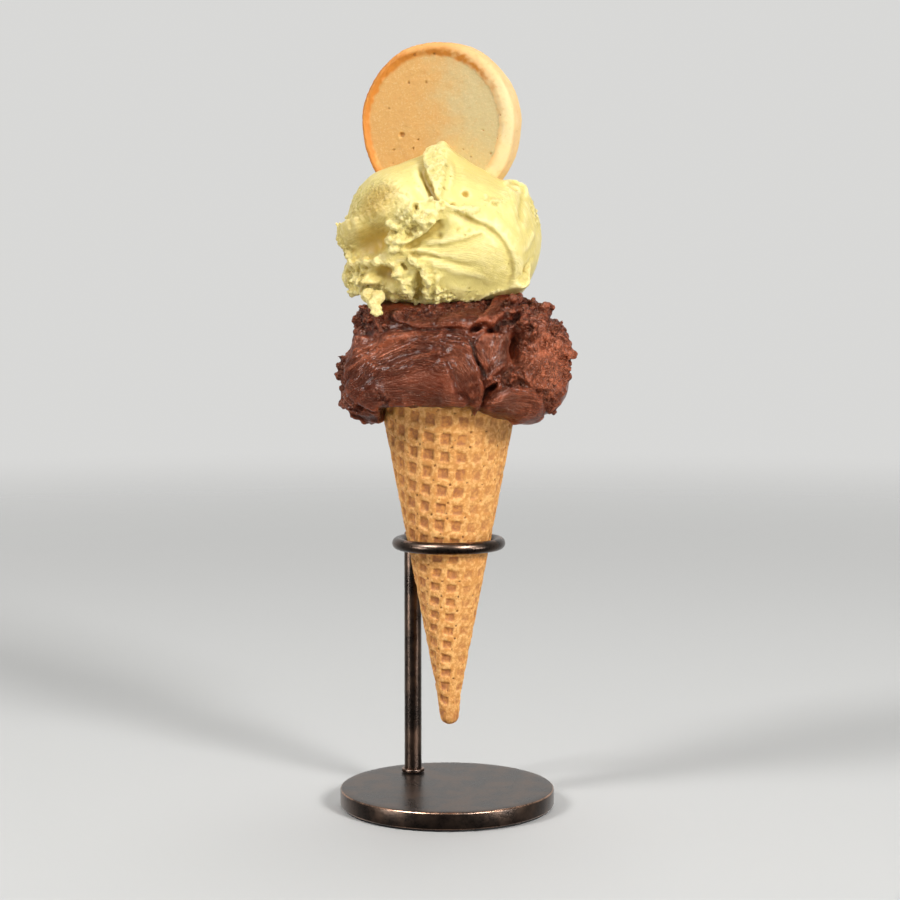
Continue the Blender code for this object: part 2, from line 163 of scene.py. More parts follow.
class Value:
    """A shader socket that takes part in sums."""

    def __init__(self, board: "Board", socket: NodeSocket) -> None:
        """Wraps a socket of one of the board's nodes."""
        self.board = board
        self.socket = socket

    def _math(self, operation: str, *terms: "Value | float") -> "Value":
        """A Math node on these terms."""
        return self.board.node("ShaderNodeMath", {"operation": operation}, *terms)

    def __add__(self, other: "Value | float") -> "Value":
        """self + other."""
        return self._math("ADD", self, other)

    def __radd__(self, other: float) -> "Value":
        """other + self."""
        return self._math("ADD", other, self)

    def __sub__(self, other: "Value | float") -> "Value":
        """self - other."""
        return self._math("SUBTRACT", self, other)

    def __rsub__(self, other: float) -> "Value":
        """other - self."""
        return self._math("SUBTRACT", other, self)

    def __mul__(self, other: "Value | float") -> "Value":
        """self * other."""
        return self._math("MULTIPLY", self, other)

    def clipped(self) -> "Value":
        """self kept between 0 and 1."""
        return self.board.node("ShaderNodeClamp", {}, self)

    def between(self, low: float, high: float) -> "Value":
        """A smooth rise from 0 at low to 1 at high."""
        settings = {"interpolation_type": "SMOOTHSTEP"}
        return self.board.node("ShaderNodeMapRange", settings, self, low, high, 0.0, 1.0)


class Board:
    """One material and the nodes in it."""

    def __init__(self, name: str) -> None:
        """Starts a material that holds a Principled shader.

        Args:
            name: The material's name.
        """
        self.material = bpy.data.materials.new(name)
        self.material.use_nodes = True
        self.tree = self.material.node_tree
        self.shader = self.tree.nodes["Principled BSDF"]

    def node(self, kind: str, settings: dict[str, object], *inputs: object, out: int = 0,
             **named: object) -> Value:
        """Adds a node.

        Args:
            kind: The node's type.
            settings: Its own settings, set before its sockets.
            inputs: Values or links for its first sockets, in order.
            out: Which output is wanted.
            named: Values or links for sockets by name, with _ for a space.

        Returns:
            The wanted output.
        """
        made = self.tree.nodes.new(kind)
        for key, setting in settings.items():
            setattr(made, key, setting)
        for socket, given in zip(made.inputs, inputs):
            self._feed(socket, given)
        for name, given in named.items():
            self._feed(made.inputs[name.replace("_", " ")], given)
        return Value(self, made.outputs[out])

    def _feed(self, socket: NodeSocket, given: object) -> None:
        """Links or sets one socket; None leaves it alone."""
        if isinstance(given, Value):
            self.tree.links.new(given.socket, socket)
        elif given is not None:
            if socket.type == "RGBA" and len(given) == 3:
                given = (*given, 1.0)
            socket.default_value = given

    def where(self) -> Value:
        """Object coordinates, in metres."""
        return self.node("ShaderNodeTexCoord", {}, out=3)

    def mark(self, name: str) -> Value:
        """A number stored on the mesh."""
        return self.node("ShaderNodeAttribute", {"attribute_name": name}, out=2)

    def noise(self, size: float, detail: float = 2.0, rough: float = 0.5) -> Value:
        """Noise around 0.5 whose bumps are about this many millimetres."""
        scale = 1 / (size * MM)
        return self.node("ShaderNodeTexNoise", {}, self.where(), None, scale, detail, rough)

    def mix(self, factor: Value | float, low: object, high: object) -> Value:
        """Mixes two colours.

        Args:
            factor: 0 for the first, 1 for the second.
            low: First colour.
            high: Second colour.

        Returns:
            The mixed colour.
        """
        settings = {"data_type": "RGBA", "clamp_factor": True}
        sockets_for_numbers = (None,) * 5
        return self.node("ShaderNodeMix", settings, factor, *sockets_for_numbers, low, high, out=2)

    def bump(self, height: Value, depth: float) -> Value:
        """Turns a height into a tilted normal; a height of 1 stands for depth millimetres."""
        return self.node("ShaderNodeBump", {}, Strength=1.0, Distance=depth * MM, Height=height)

    def finish(self, constants: dict[str, object], **links: Value) -> Material:
        """Sets the shader's sockets.

        Args:
            constants: Plain numbers, by socket name.
            links: Varying values, by socket name with _ for a space.

        Returns:
            The finished material.
        """
        for name, value in constants.items():
            self._feed(self.shader.inputs[name], value)
        for name, value in links.items():
            self._feed(self.shader.inputs[name.replace("_", " ")], value)
        return self.material


# Finishes


@dataclass(frozen=True)
class BronzeFinish:
    """Aged dark bronze, browned in patches and rubbed to copper on its edges."""

    name: str = "aged_bronze"
    dark: Triple = (0.050, 0.038, 0.032)
    brown: Triple = (0.130, 0.085, 0.062)
    copper: Triple = (0.62, 0.36, 0.24)
    roughness: float = 0.30

    def made(self) -> Material:
        """Builds the material."""
        board = Board(self.name)
        cloud = board.noise(9.0, 4.0, 0.6)
        fine = board.noise(0.9, 3.0, 0.6)
        colour = board.mix(cloud.between(0.35, 0.7), self.dark, self.brown)
        worn = (board.mark("edge") * (0.55 + fine * 0.9)).between(0.35, 0.85)
        colour = board.mix(worn * 0.8, colour, self.copper)
        roughness = self.roughness + (cloud - 0.5) * 0.16 + (fine - 0.5) * 0.16 - worn * 0.06
        return board.finish(
            {"Metallic": 1.0},
            Base_Color=colour,
            Roughness=roughness.clipped(),
            Normal=board.bump(fine, 0.03),
        )


@dataclass(frozen=True)
class RubberFinish:
    """Dull black rubber with a fine moulded grain."""

    name: str = "black_rubber"
    low: Triple = (0.010, 0.010, 0.010)
    high: Triple = (0.028, 0.027, 0.026)

    def made(self) -> Material:
        """Builds the material."""
        board = Board(self.name)
        grain = board.noise(0.6, 3.0, 0.6)
        cloud = board.noise(7.0, 2.0)
        colour = board.mix(cloud, self.low, self.high)
        return board.finish(
            {"Specular IOR Level": 0.35},
            Base_Color=colour,
            Roughness=0.70 + grain * 0.2,
            Normal=board.bump(grain, 0.05),
        )


@dataclass(frozen=True)
class WaferFinish:
    """Baked waffle cone: golden ribs, pinker cells and dark pinholes."""

    name: str = "baked_wafer"
    rib: Triple = (0.61, 0.265, 0.066)
    rib_pale: Triple = (0.82, 0.45, 0.155)
    cell: Triple = (0.40, 0.15, 0.052)
    brown: Triple = (0.38, 0.125, 0.024)
    hole: Triple = (0.24, 0.095, 0.025)

    def made(self) -> Material:
        """Builds the material."""
        board = Board(self.name)
        cell = board.mark("cell")
        cloud = board.noise(8.0, 3.0, 0.55)
        fleck = board.noise(1.5, 3.0, 0.65)
        fine = board.noise(0.5, 2.0, 0.6)
        rib = board.mix(fleck.between(0.4, 0.66), self.rib, self.rib_pale)
        floor = board.mix(fleck.between(0.35, 0.7), self.cell, self.rib)
        colour = board.mix(cell.between(0.15, 0.85), rib, floor)
        colour = board.mix((board.mark("baked") + (cloud - 0.5) * 0.9).between(0.35, 1.1) * 0.6,
                           colour, self.brown)
        colour = board.mix(board.mark("hole").between(0.15, 0.8), colour, self.hole)
        height = fine * 0.5 + fleck * 0.5
        return board.finish(
            {"Specular IOR Level": 0.18, "Subsurface Weight": 0.12, "Subsurface Scale": 0.0012,
             "Subsurface Radius": (1.0, 0.5, 0.2)},
            Base_Color=colour,
            Roughness=(0.50 + fleck * 0.2 + cell * 0.08).clipped(),
            Normal=board.bump(height, 0.16),
        )


@dataclass(frozen=True)
class ShortbreadFinish:
    """Pale buttery biscuit, brown along the rim's crest and darker at its left, partly baked colour
    and partly painted shade.
    """

    name: str = "buttery_biscuit"
    pale: Triple = (0.84, 0.64, 0.32)
    cream: Triple = (0.80, 0.62, 0.33)
    # Golden colour of the rim, partly baked colour and partly painted shade at the left.
    golden: Triple = (0.77, 0.375, 0.105)
    # Painted shade for the floor at the left.
    floor: Triple = (0.55, 0.43, 0.205)
    tan: Triple = (0.63, 0.345, 0.102)
    brown: Triple = (0.64, 0.235, 0.034)
    hole: Triple = (0.55, 0.27, 0.065)

    def made(self) -> Material:
        """Builds the material."""
        board = Board(self.name)
        cloud = board.noise(7.0, 3.0, 0.6)
        fleck = board.noise(1.3, 3.0, 0.6)
        crumb = board.noise(0.8, 2.0, 0.6)
        fine = board.noise(0.45, 2.0, 0.6)
        side = board.mark("shade_side")
        # Painted shade: the floor turns tan towards the left.
        floor = board.mix((side + (cloud - 0.5) * 0.9).between(0.1, 0.95), self.floor, self.tan)
        floor = board.mix(crumb.between(0.50, 0.72) * 0.22, floor, self.cream)
        floor = board.mix(fine.between(0.56, 0.72) * 0.30, floor, self.hole)
        rim = board.mix(cloud.between(0.3, 0.75), self.pale, self.cream)
        # The rim turns golden towards the left and the top: partly baked colour, partly painted
        # shade.
        rim = board.mix((board.mark("golden") + (cloud - 0.5) * 0.5).between(0.1, 0.9), rim,
                        self.golden)
        inside = (board.mark("floor") + (fleck - 0.5) * 0.5).between(0.1, 0.9)
        colour = board.mix(inside, rim, floor)
        # Brown along the rim's crest and at the left side: partly baked colour, partly painted
        # shade.
        browning_and_shade = (board.mark("browning_and_shade") * (0.45 + fleck * 0.5 + crumb * 0.6)).between(0.12, 0.85)
        colour = board.mix(browning_and_shade, colour, self.brown)
        colour = board.mix(fleck.between(0.56, 0.8) * 0.3, colour, self.brown)
        colour = board.mix(board.mark("hole").between(0.2, 0.8) * 0.85, colour, self.hole)
        return board.finish(
            {"Specular IOR Level": 0.18, "Subsurface Weight": 0.15, "Subsurface Scale": 0.0014,
             "Subsurface Radius": (1.0, 0.6, 0.3)},
            Base_Color=colour,
            Roughness=(0.52 + fleck * 0.2).clipped(),
            Normal=board.bump(fine * 0.4 + crumb * 0.4 + fleck * 0.5, 0.2),
        )


@dataclass(frozen=True)
class GelatoFinish:
    """Dense churned ice: smooth where the paddle passed, grainy where it tore."""

    name: str
    plain: Triple
    # Lighter colour for ridges: partly a lighter tone of thin edges, partly painted highlight.
    crest: Triple
    # Painted shade for hollows, the gaps between curds and the drag grooves; it also darkens random
    # flecks.
    deep: Triple
    # Colour of patches that are partly the gelato's own tone and partly painted light: highlight on
    # the chocolate, shade on the pistachio.
    tint_and_painted_light: Triple
    smooth_roughness: float
    torn_roughness: float
    glow: Triple
    glow_weight: float
    relief: float = 0.2
    drag: float = 1.0
    gloss: float = 0.5
    film: float = 0.0
    crest_span: Pair = (0.0, 0.55)
    sheen: Triple = (1.0, 1.0, 1.0)
    curd: float = 1.3
    # How strongly painted shade darkens the gaps between curds.
    gaps: float = 0.12

    def made(self) -> Material:
        """Builds the material."""
        board = Board(self.name)
        crest, torn, hollow = board.mark("crest"), board.mark("torn"), board.mark("hollow")
        cloud = board.noise(9.0, 3.0, 0.55)
        fleck = board.noise(1.5, 3.0, 0.62)
        fine = board.noise(0.6, 2.0, 0.6)
        curd = board.node("ShaderNodeTexVoronoi", {"feature": "SMOOTH_F1"}, board.where(), None,
                          1 / (self.curd * MM), 1.0, 0.6)
        flow = board.node("ShaderNodeCombineXYZ", {}, board.mark("flow_along"),
                          board.mark("flow_across"), 0.0)
        drag = board.node("ShaderNodeTexNoise", {}, flow, None, 1.0, 3.0, 0.6)
        groove = (1 - (drag - 0.5) * (drag - 0.5) * 160).clipped() * board.mark("flow")
        # Painted highlight, partly a lighter tone: ridges take the crest colour.
        colour = board.mix((crest + (cloud - 0.5) * 0.3).between(*self.crest_span), self.plain,
                           self.crest)
        # Painted shade: hollows take the deep colour, less so on ridges.
        sunk = hollow - crest * 0.55 + (fleck - 0.5) * 0.2
        colour = board.mix(sunk.between(0.05, 0.9), colour, self.deep)
        # Patches of painted light, partly the gelato's own tone.
        colour = board.mix((board.mark("tint_and_painted_light") + (fleck - 0.5) * 0.5).between(0.15, 1.0), colour,
                           self.tint_and_painted_light)
        colour = board.mix(fleck.between(0.56, 0.78) * torn * 0.3, colour, self.deep)
        # Painted shade in the gaps between curds.
        colour = board.mix(curd.between(0.42, 0.75) * torn * self.gaps, colour, self.deep)
        # Painted shade along the drag grooves.
        colour = board.mix(groove * 0.3, colour, self.deep)
        spread = self.torn_roughness - self.smooth_roughness
        roughness = self.smooth_roughness + torn * spread + (fleck - 0.5) * 0.2
        height = fine * (0.2 + torn * 0.6) + fleck * (0.5 + torn * 0.7) - curd * curd * torn * 1.3
        height = height + drag * board.mark("flow") * self.drag - groove * self.drag * 0.45
        return board.finish(
            {"Specular IOR Level": self.gloss, "Specular Tint": self.sheen, "Coat Roughness": 0.17,
             "Subsurface Weight": self.glow_weight, "Subsurface Scale": 0.0016,
             "Subsurface Radius": self.glow},
            Base_Color=colour,
            Roughness=roughness.clipped(),
            Coat_Weight=((1 - torn * 0.6 - hollow) * self.film).clipped(),
            Normal=board.bump(height, self.relief),
        )


CHOCOLATE_FINISH = GelatoFinish(
    name="chocolate_gelato",
    plain=(0.112, 0.019, 0.0070),
    crest=(0.260, 0.062, 0.027),
    deep=(0.020, 0.0035, 0.0025),
    tint_and_painted_light=(0.470, 0.130, 0.060),
    smooth_roughness=0.32,
    torn_roughness=0.36,
    glow=(1.0, 0.35, 0.2),
    glow_weight=0.04,
    relief=0.9,
    drag=1.2,
    film=0.1,
    gloss=0.33,
    crest_span=(0.1, 1.0),
    sheen=(1.0, 0.6, 0.42),
    curd=1.7,
    gaps=0.5,
)
PISTACHIO_FINISH = GelatoFinish(
    name="pistachio_gelato",
    plain=(0.76, 0.63, 0.215),
    crest=(0.86, 0.735, 0.32),
    deep=(0.44, 0.31, 0.065),
    tint_and_painted_light=(0.55, 0.35, 0.06),
    smooth_roughness=0.42,
    torn_roughness=0.52,
    glow=(1.0, 0.85, 0.35),
    glow_weight=0.12,
    relief=0.4,
    drag=0.35,
    gloss=0.25,
)


# Pieces


def placed(name: str, data: bpy.types.ID) -> Object:
    """A new object in the scene that shows this data."""
    made = bpy.data.objects.new(name, data)
    bpy.context.scene.collection.objects.link(made)
    return made


def add_piece(name: str, mesh: BMesh | Mesh, material: Material, node: str,
              smooth_below: float = 40.0) -> Object:
    """Turns a mesh in millimetres into a finished piece that stands for a CAD node.

    Args:
        name: The piece's name.
        mesh: Its shape.
        material: Its finish.
        node: The CAD node it stands for.
        smooth_below: Edges flatter than this many degrees are shaded smooth.

    Returns:
        The piece.
    """
    data = mesh
    if isinstance(mesh, BMesh):
        bmesh.ops.recalc_face_normals(mesh, faces=mesh.faces)
        data = loose_mesh(mesh, name)
    data.name = name
    data.transform(Matrix.Scale(MM, 4))
    data.shade_smooth()
    data.set_sharp_from_angle(angle=math.radians(smooth_below))
    data.materials.clear()
    data.materials.append(material)
    piece = placed(name, data)
    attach(piece, "root")
    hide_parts(node)
    return piece


def node_box(node: str) -> tuple[Array, Array]:
    """A CAD node's lowest and highest corners, in millimetres."""
    low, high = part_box(node)
    return np.array(low) / MM, np.array(high) / MM


def rows_of(items: bpy.types.bpy_prop_collection, key: str) -> Array:
    """Three numbers of each item, one row each."""
    flat = np.empty(len(items) * 3, np.float32)
    items.foreach_get(key, flat)
    return flat.reshape(-1, 3).astype(float)


def vertex_points(data: Mesh) -> Array:
    """Every vertex's place, one row each."""
    return rows_of(data.vertices, "co")


def vertex_normals(data: Mesh) -> Array:
    """Every vertex's outward direction, one row each."""
    return rows_of(data.vertex_normals, "vector")


def move_vertices(data: Mesh, points: Array) -> None:
    """Puts every vertex in its new place."""
    data.vertices.foreach_set("co", points.astype(np.float32).ravel())
    data.update()


def store_mark(data: Mesh, name: str, values: Array) -> None:
    """Stores one number on each vertex, for the finish to read."""
    made = data.attributes.new(name, "FLOAT", "POINT")
    made.data.foreach_set("value", values.astype(np.float32))


def loose_mesh(mesh: BMesh, name: str) -> Mesh:
    """Turns a bmesh into plain mesh data, and frees it."""
    data = bpy.data.meshes.new(name)
    mesh.to_mesh(data)
    mesh.free()
    return data


def weld(data: Mesh, within: float) -> None:
    """Joins points this close and turns every face outwards, in place."""
    mesh = bmesh.new()
    mesh.from_mesh(data)
    bmesh.ops.remove_doubles(mesh, verts=mesh.verts, dist=within)
    bmesh.ops.recalc_face_normals(mesh, faces=mesh.faces)
    mesh.to_mesh(data)
    mesh.free()


def quarter(radius: float, height: float, size: float, start: float, count: int) -> list[Vector]:
    """Points of a quarter round in the XZ plane, from this angle in degrees."""
    turns = [math.radians(start + 90 * i / (count - 1)) for i in range(count)]
    return [Vector((radius + size * math.cos(t), 0, height + size * math.sin(t))) for t in turns]


def spin_all(mesh: BMesh, steps: int, within: float = 1e-4) -> None:
    """Turns everything in a mesh once about the Z axis, in place.

    Args:
        mesh: Points and edges in the XZ plane.
        steps: Facets round the axis.
        within: Distance under which points become one.
    """
    bmesh.ops.spin(mesh, geom=mesh.verts[:] + mesh.edges[:], cent=(0, 0, 0), axis=(0, 0, 1),
                   angle=2 * math.pi, steps=steps, use_merge=True)
    bmesh.ops.remove_doubles(mesh, verts=mesh.verts, dist=within)


def spun(profile: list[Vector], steps: int, within: float = 1e-4) -> BMesh:
    """A closed body turned about the Z axis from a profile in the XZ plane."""
    mesh = bmesh.new()
    verts = [mesh.verts.new(point) for point in profile]
    for pair in zip(verts, verts[1:]):
        mesh.edges.new(pair)
    spin_all(mesh, steps, within)
    return mesh


def grid_mesh(columns: int, rows: int) -> tuple[Mesh, Array, Array]:
    """A flat grid of faces, to be wrapped round something.

    Args:
        columns: Faces across.
        rows: Faces up.

    Returns:
        The mesh, and each vertex's column and row.
    """
    mesh = bmesh.new()
    bmesh.ops.create_grid(mesh, x_segments=columns, y_segments=rows, size=1.0)
    data = loose_mesh(mesh, "grid")
    flat = vertex_points(data)
    column = np.rint((flat[:, 0] + 1) / 2 * columns).astype(int)
    row = np.rint((flat[:, 1] + 1) / 2 * rows).astype(int)
    return data, column, row


def even_out(data: Mesh, values: Array, passes: int) -> Array:
    """Averages values with their neighbours along the mesh's edges.

    Args:
        data: The mesh.
        values: A row or a number for each vertex.
        passes: How many times.

    Returns:
        The evened values.
    """
    ends = np.empty(len(data.edges) * 2, np.int32)
    data.edges.foreach_get("vertices", ends)
    one, other = ends.reshape(-1, 2).T
    count = np.bincount(ends, minlength=len(values))
    rows = values.reshape(len(values), -1).astype(float)
    for _ in range(passes):
        columns = []
        for column in rows.T:
            total = np.bincount(one, column[other], len(column))
            total += np.bincount(other, column[one], len(column))
            columns.append(0.5 * column + 0.5 * total / np.maximum(count, 1))
        rows = np.column_stack(columns)
    return rows.reshape(values.shape)


# Stand


@dataclass
class Stand:
    """Weighted disc on a rubber pad, with a post that carries the cone's ring."""

    edge_round: float = 0.7
    ring_wire: float = 2.2
    disc_steps: int = 220
    rod_steps: int = 48
    collar_steps: int = 64
    ring_steps: int = 180
    post_round: float = 1.2
    bronze: BronzeFinish = field(default_factory=BronzeFinish)
    rubber: RubberFinish = field(default_factory=RubberFinish)

    def build(self) -> list[Object]:
        """Makes and dresses the five pieces.

        Returns:
            The pieces.
        """
        bronze, rubber = self.bronze.made(), self.rubber.made()
        return [
            self._turned("rubber_foot", "foot_pad", rubber, 0.15),
            self._turned("bronze_disc", "stand_disc", bronze, self.edge_round),
            self._turned("bronze_post", "stand_post", bronze, self.post_round),
            self._collar(bronze),
            self._ring(bronze),
        ]

    def _standing(self, profile: list[Vector], steps: int, middle: Array) -> BMesh:
        """A turned body on an upright axis through this point."""
        mesh = spun(profile, steps)
        bmesh.ops.translate(mesh, verts=mesh.verts, vec=(middle[0], middle[1], 0))
        return mesh

    def _turned(self, name: str, node: str, material: Material,
                rounding: float) -> Object:
        """A turned disc or rod that fills its node's box.

        Args:
            name: The piece's name.
            node: The CAD node it stands for.
            material: Its finish.
            rounding: Radius of its edges.

        Returns:
            The piece.
        """
        low, high = node_box(node)
        middle = (low + high) / 2
        radius = (high[0] - low[0]) / 2
        broad = radius > 10
        rings = 14 if broad else 1
        profile = [Vector((0, 0, low[2]))]
        profile += quarter(radius - rounding, low[2] + rounding, rounding, -90, 5)
        if not broad:
            start, span = low[2] + rounding, high[2] - low[2] - 2 * rounding
            profile += [Vector((radius, 0, start + span * i / 60)) for i in range(1, 60)]
        profile += quarter(radius - rounding, high[2] - rounding, rounding, 0, 5)
        inner = radius - rounding
        profile += [Vector((inner * (1 - i / rings), 0, high[2])) for i in range(1, rings)]
        profile += [Vector((0, 0, high[2]))]
        mesh = self._standing(profile, self.disc_steps if broad else self.rod_steps, middle)
        piece = add_piece(name, mesh, material, node, 50)
        self._mark_edges(piece, middle, radius, low[2], high[2], rounding)
        return piece

    def _mark_edges(self, piece: Object, middle: Array, radius: float, bottom: float,
                    top: float, rounding: float) -> None:
        """Marks the turned edges, which rub to copper first."""
        points = vertex_points(piece.data) / MM
        side = np.hypot(points[:, 0] - middle[0], points[:, 1] - middle[1])
        above = np.maximum(0, side - (radius - rounding)) / rounding
        reach = np.minimum(np.abs(points[:, 2] - top), np.abs(points[:, 2] - bottom)) / rounding
        rubbed = 0.65 + 0.45 * Grain(41).layered(points / 9.0, 3)
        edge = np.clip(above * (1 - np.clip(reach, 0, 1)) * 2.4, 0, 1)
        store_mark(piece.data, "edge", edge * rubbed)

    def _collar(self, material: Material) -> Object:
        """The thin turned ring round the foot of the post."""
        low, high = node_box("post_collar")
        post_low, post_high = node_box("stand_post")
        inside = (post_high[0] - post_low[0]) / 2 + 0.1
        radius = (high[0] - low[0]) / 2
        rounding = 0.4
        profile = [Vector((inside, 0, low[2]))]
        profile += quarter(radius - rounding, low[2] + rounding, rounding, -90, 5)
        profile += quarter(radius - rounding, high[2] - rounding, rounding, 0, 5)
        profile += [Vector((inside, 0, high[2])), Vector((inside, 0, low[2]))]
        mesh = self._standing(profile, self.collar_steps, (low + high) / 2)
        piece = add_piece("bronze_collar", mesh, material, "post_collar", 50)
        points = vertex_points(piece.data) / MM
        store_mark(piece.data, "edge", 0.6 * ease(points[:, 2], high[2] - 0.5, high[2]))
        return piece

    def _ring(self, material: Material) -> Object:
        """The closed wire ring."""
        low, high = node_box("stand_ring")
        middle = (low + high) / 2
        radius = (high[0] - low[0]) / 2 - self.ring_wire
        mesh = bmesh.new()
        wire = bmesh.ops.create_circle(mesh, cap_ends=False, segments=28, radius=self.ring_wire)
        place = Matrix.Translation((radius, 0, 0)) @ Matrix.Rotation(math.pi / 2, 4, "X")
        bmesh.ops.transform(mesh, matrix=place, verts=wire["verts"])
        spin_all(mesh, self.ring_steps)
        bmesh.ops.translate(mesh, verts=mesh.verts, vec=middle)
        piece = add_piece("bronze_ring", mesh, material, "stand_ring", 60)
        points = vertex_points(piece.data) / MM
        rubbed = Grain(43).layered(points / 6.0, 3)
        upper = ease((points[:, 2] - middle[2]) / self.ring_wire, 0.2, 1.0)
        store_mark(piece.data, "edge", 0.75 * upper * ease(rubbed, -0.3, 0.6))
        return piece


# Waffle cone


@dataclass
class WaffleCone:
    """A waffle sheet rolled into a cone, one edge lying over the other."""

    axis: Pair = (0.9, 3.0)
    mouth_z: float = 150.6
    mouth_radius: float = 25.9
    tip_z: float = 33.6
    tip_radius: float = 3.5
    wall: float = 2.6
    cell_width: float = 6.3
    cell_height_above: float = 6.6
    cell_height_below: float = 5.5
    rib_half: float = 0.85
    rib_slope: float = 1.0
    cell_depth: float = 1.0
    seam_step: float = 0.9
    seam_lean: float = math.radians(12.4)
    seam_offset: float = -1.2
    grid_tilt: float = math.radians(4.2)
    grid_crossing: float = 102.6
    grid_wander: float = 0.45
    tall_rows: int = 3
    worn_from: Pair = (2.0, 30.0)
    worn_to: Pair = (-80.0, -62.0)
    hole_depth: float = 0.7
    columns: int = 316
    rows: int = 270
    grain: Grain = field(default_factory=lambda: Grain(7))
    finish: WaferFinish = field(default_factory=WaferFinish)

    def __post_init__(self) -> None:
        """Works out the cone's own angles."""
        self.taper = math.atan2(self.mouth_radius - self.tip_radius, self.mouth_z - self.tip_z)
        self.apex_z = self.mouth_z - self.mouth_radius / math.tan(self.taper)
        self.full_turn = 2 * math.pi * math.sin(self.taper)

    def build(self) -> Object:
        """Makes and dresses the cone.

        Returns:
            The piece.
        """
        nose, rim, inner = 9, 6, 9
        total = nose + self.rows + rim + inner
        data, column, row = grid_mesh(self.columns + 1, total - 1)
        turn = np.where(column > self.columns, 0.0, column / self.columns)
        share = np.clip((row - nose) / (self.rows - 1), 0, 1)
        short = self.tip_radius / math.sin(self.taper)
        long = self.mouth_radius / math.sin(self.taper)
        slant = short + (long - short) * share
        proud, marks = self._pressed(slant, turn, share)
        points = self._rolled(slant, turn, proud, share)
        self._round_nose(points, (nose - row) / nose)
        self._fold_rim(points, row - nose - self.rows + 1, rim, inner)
        move_vertices(data, points)
        for name, values in marks.items():
            store_mark(data, name, np.where(row > nose + self.rows, 0.0, values))
        weld(data, 2e-3)
        return add_piece("waffle_cone_baked", data, self.finish.made(), "waffle_cone", 80)

    def _seam(self, slant: Array) -> Array:
        """The free edge's angle on the flat sheet."""
        offset = self.seam_offset * math.cos(self.seam_lean)
        return self.seam_lean + np.arcsin(np.clip(offset / slant, -1, 1))

    def _pressed(self, slant: Array, turn: Array, share: Array) -> tuple[Array, dict[str, Array]]:
        """How proud of the plain sheet each point lies, and its marks.

        Args:
            slant: Distance from the cone's point along the wall.
            turn: Share of the way round the sheet.
            share: Share of the way from tip to mouth.

        Returns:
            Heights in millimetres, and the marks for the finish by name.
        """
        angle = self._seam(slant) + self.full_turn * turn
        flat = np.column_stack([slant * np.sin(angle), slant * np.cos(angle), np.zeros_like(slant)])
        grain = self.grain
        a, b, tall = self._grid(flat)
        from_post = np.abs(a - np.rint(a)) * self.cell_width
        from_rail = np.abs(b - np.rint(b)) * tall
        half = self.rib_half + 0.35 * grain.smooth(flat / 3.1 + 11.0)
        low_post = ease(from_post - half, 0.0, self.rib_slope)
        low_rail = ease(from_rail - half, 0.0, self.rib_slope)
        cell = low_post * low_rail
        worn = self._worn(flat, np.degrees(angle / math.sin(self.taper)) - 360)
        depth = self.cell_depth * (1 - worn) * (0.9 + 0.25 * grain.smooth(flat / 6.0 + 3.0))
        depth = depth * ease(share, 0.0, 0.05)
        lumps = 0.16 * grain.layered(flat / 2.4, 3) + 0.10 * grain.smooth(flat / 0.9)
        proud = -depth * cell + lumps
        hole = self._holes(flat, cell, a, b)
        proud -= self.hole_depth * hole
        proud -= self.seam_step * (1 - turn) * ease(share, 0.0, 0.08)
        baked = 0.25 * ease(0.35 - share, 0.0, 0.35) + 0.3 * ease(0.10 - share, 0.0, 0.1)
        baked = baked + 0.25 * (1 - cell) * ease(grain.smooth(flat / 4.0 + 9.0), 0.0, 0.8)
        return proud, {"cell": cell * (1 - 0.75 * worn), "hole": hole, "baked": baked}

    def _grid(self, flat: Array) -> tuple[Array, Array, Array]:
        """Where points of the flat sheet lie on the waffle iron's grid.

        Args:
            flat: Points of the sheet.

        Returns:
            Place across and up the grid, counted in cells, and the cells' height there.
        """
        x = flat[:, 0] + self.grid_wander * self.grain.smooth(flat / 7.0)
        y = flat[:, 1] + self.grid_wander * self.grain.smooth(flat / 7.0 + 31.0)
        upward = self.full_turn + self.grid_tilt
        out_x = x - math.sin(self.full_turn) * self.grid_crossing
        out_y = y - math.cos(self.full_turn) * self.grid_crossing
        up = out_x * math.sin(upward) + out_y * math.cos(upward)
        across = out_x * math.cos(upward) - out_y * math.sin(upward)
        bend = -self.tall_rows * self.cell_height_above
        below = -self.tall_rows + (up - bend) / self.cell_height_below
        rows = np.where(up > bend, up / self.cell_height_above, below)
        tall = np.where(up > bend, self.cell_height_above, self.cell_height_below)
        return across / self.cell_width, rows, tall

    def _worn(self, flat: Array, azimuth: Array) -> Array:
        """How flat the lattice is pressed, in a strip beside the seam."""
        strip = ease(azimuth, *self.worn_from) * ease(-azimuth, *self.worn_to)
        return strip * (0.62 + 0.2 * self.grain.smooth(flat / 9.0 + 5.0))

    def _holes(self, flat: Array, cell: Array, a: Array, b: Array) -> Array:
        """Pinholes, most of them on the ribs and at their crossings."""
        first, _, _, chance = self.grain.cells(flat / 2.1 + 17.0)
        rib = 1 - 0.8 * cell
        small = ease(0.20 - first * (1.3 - 0.5 * chance), 0.0, 0.12) * (chance < 0.42)
        key = np.rint(a) * 12.9898 + np.rint(b) * 78.233
        luck = np.abs(np.sin(key) * 43758.5453) % 1
        off_a = (a - np.rint(a)) * self.cell_width - 0.9 * (luck - 0.5)
        off_b = (b - np.rint(b)) * self.cell_height_above - 1.4 * ((luck * 7.0) % 1 - 0.5)
        large = ease(0.52 - np.hypot(off_a, off_b), 0.0, 0.25) * (luck < 0.6)
        return np.clip(small * rib + large, 0, 1)

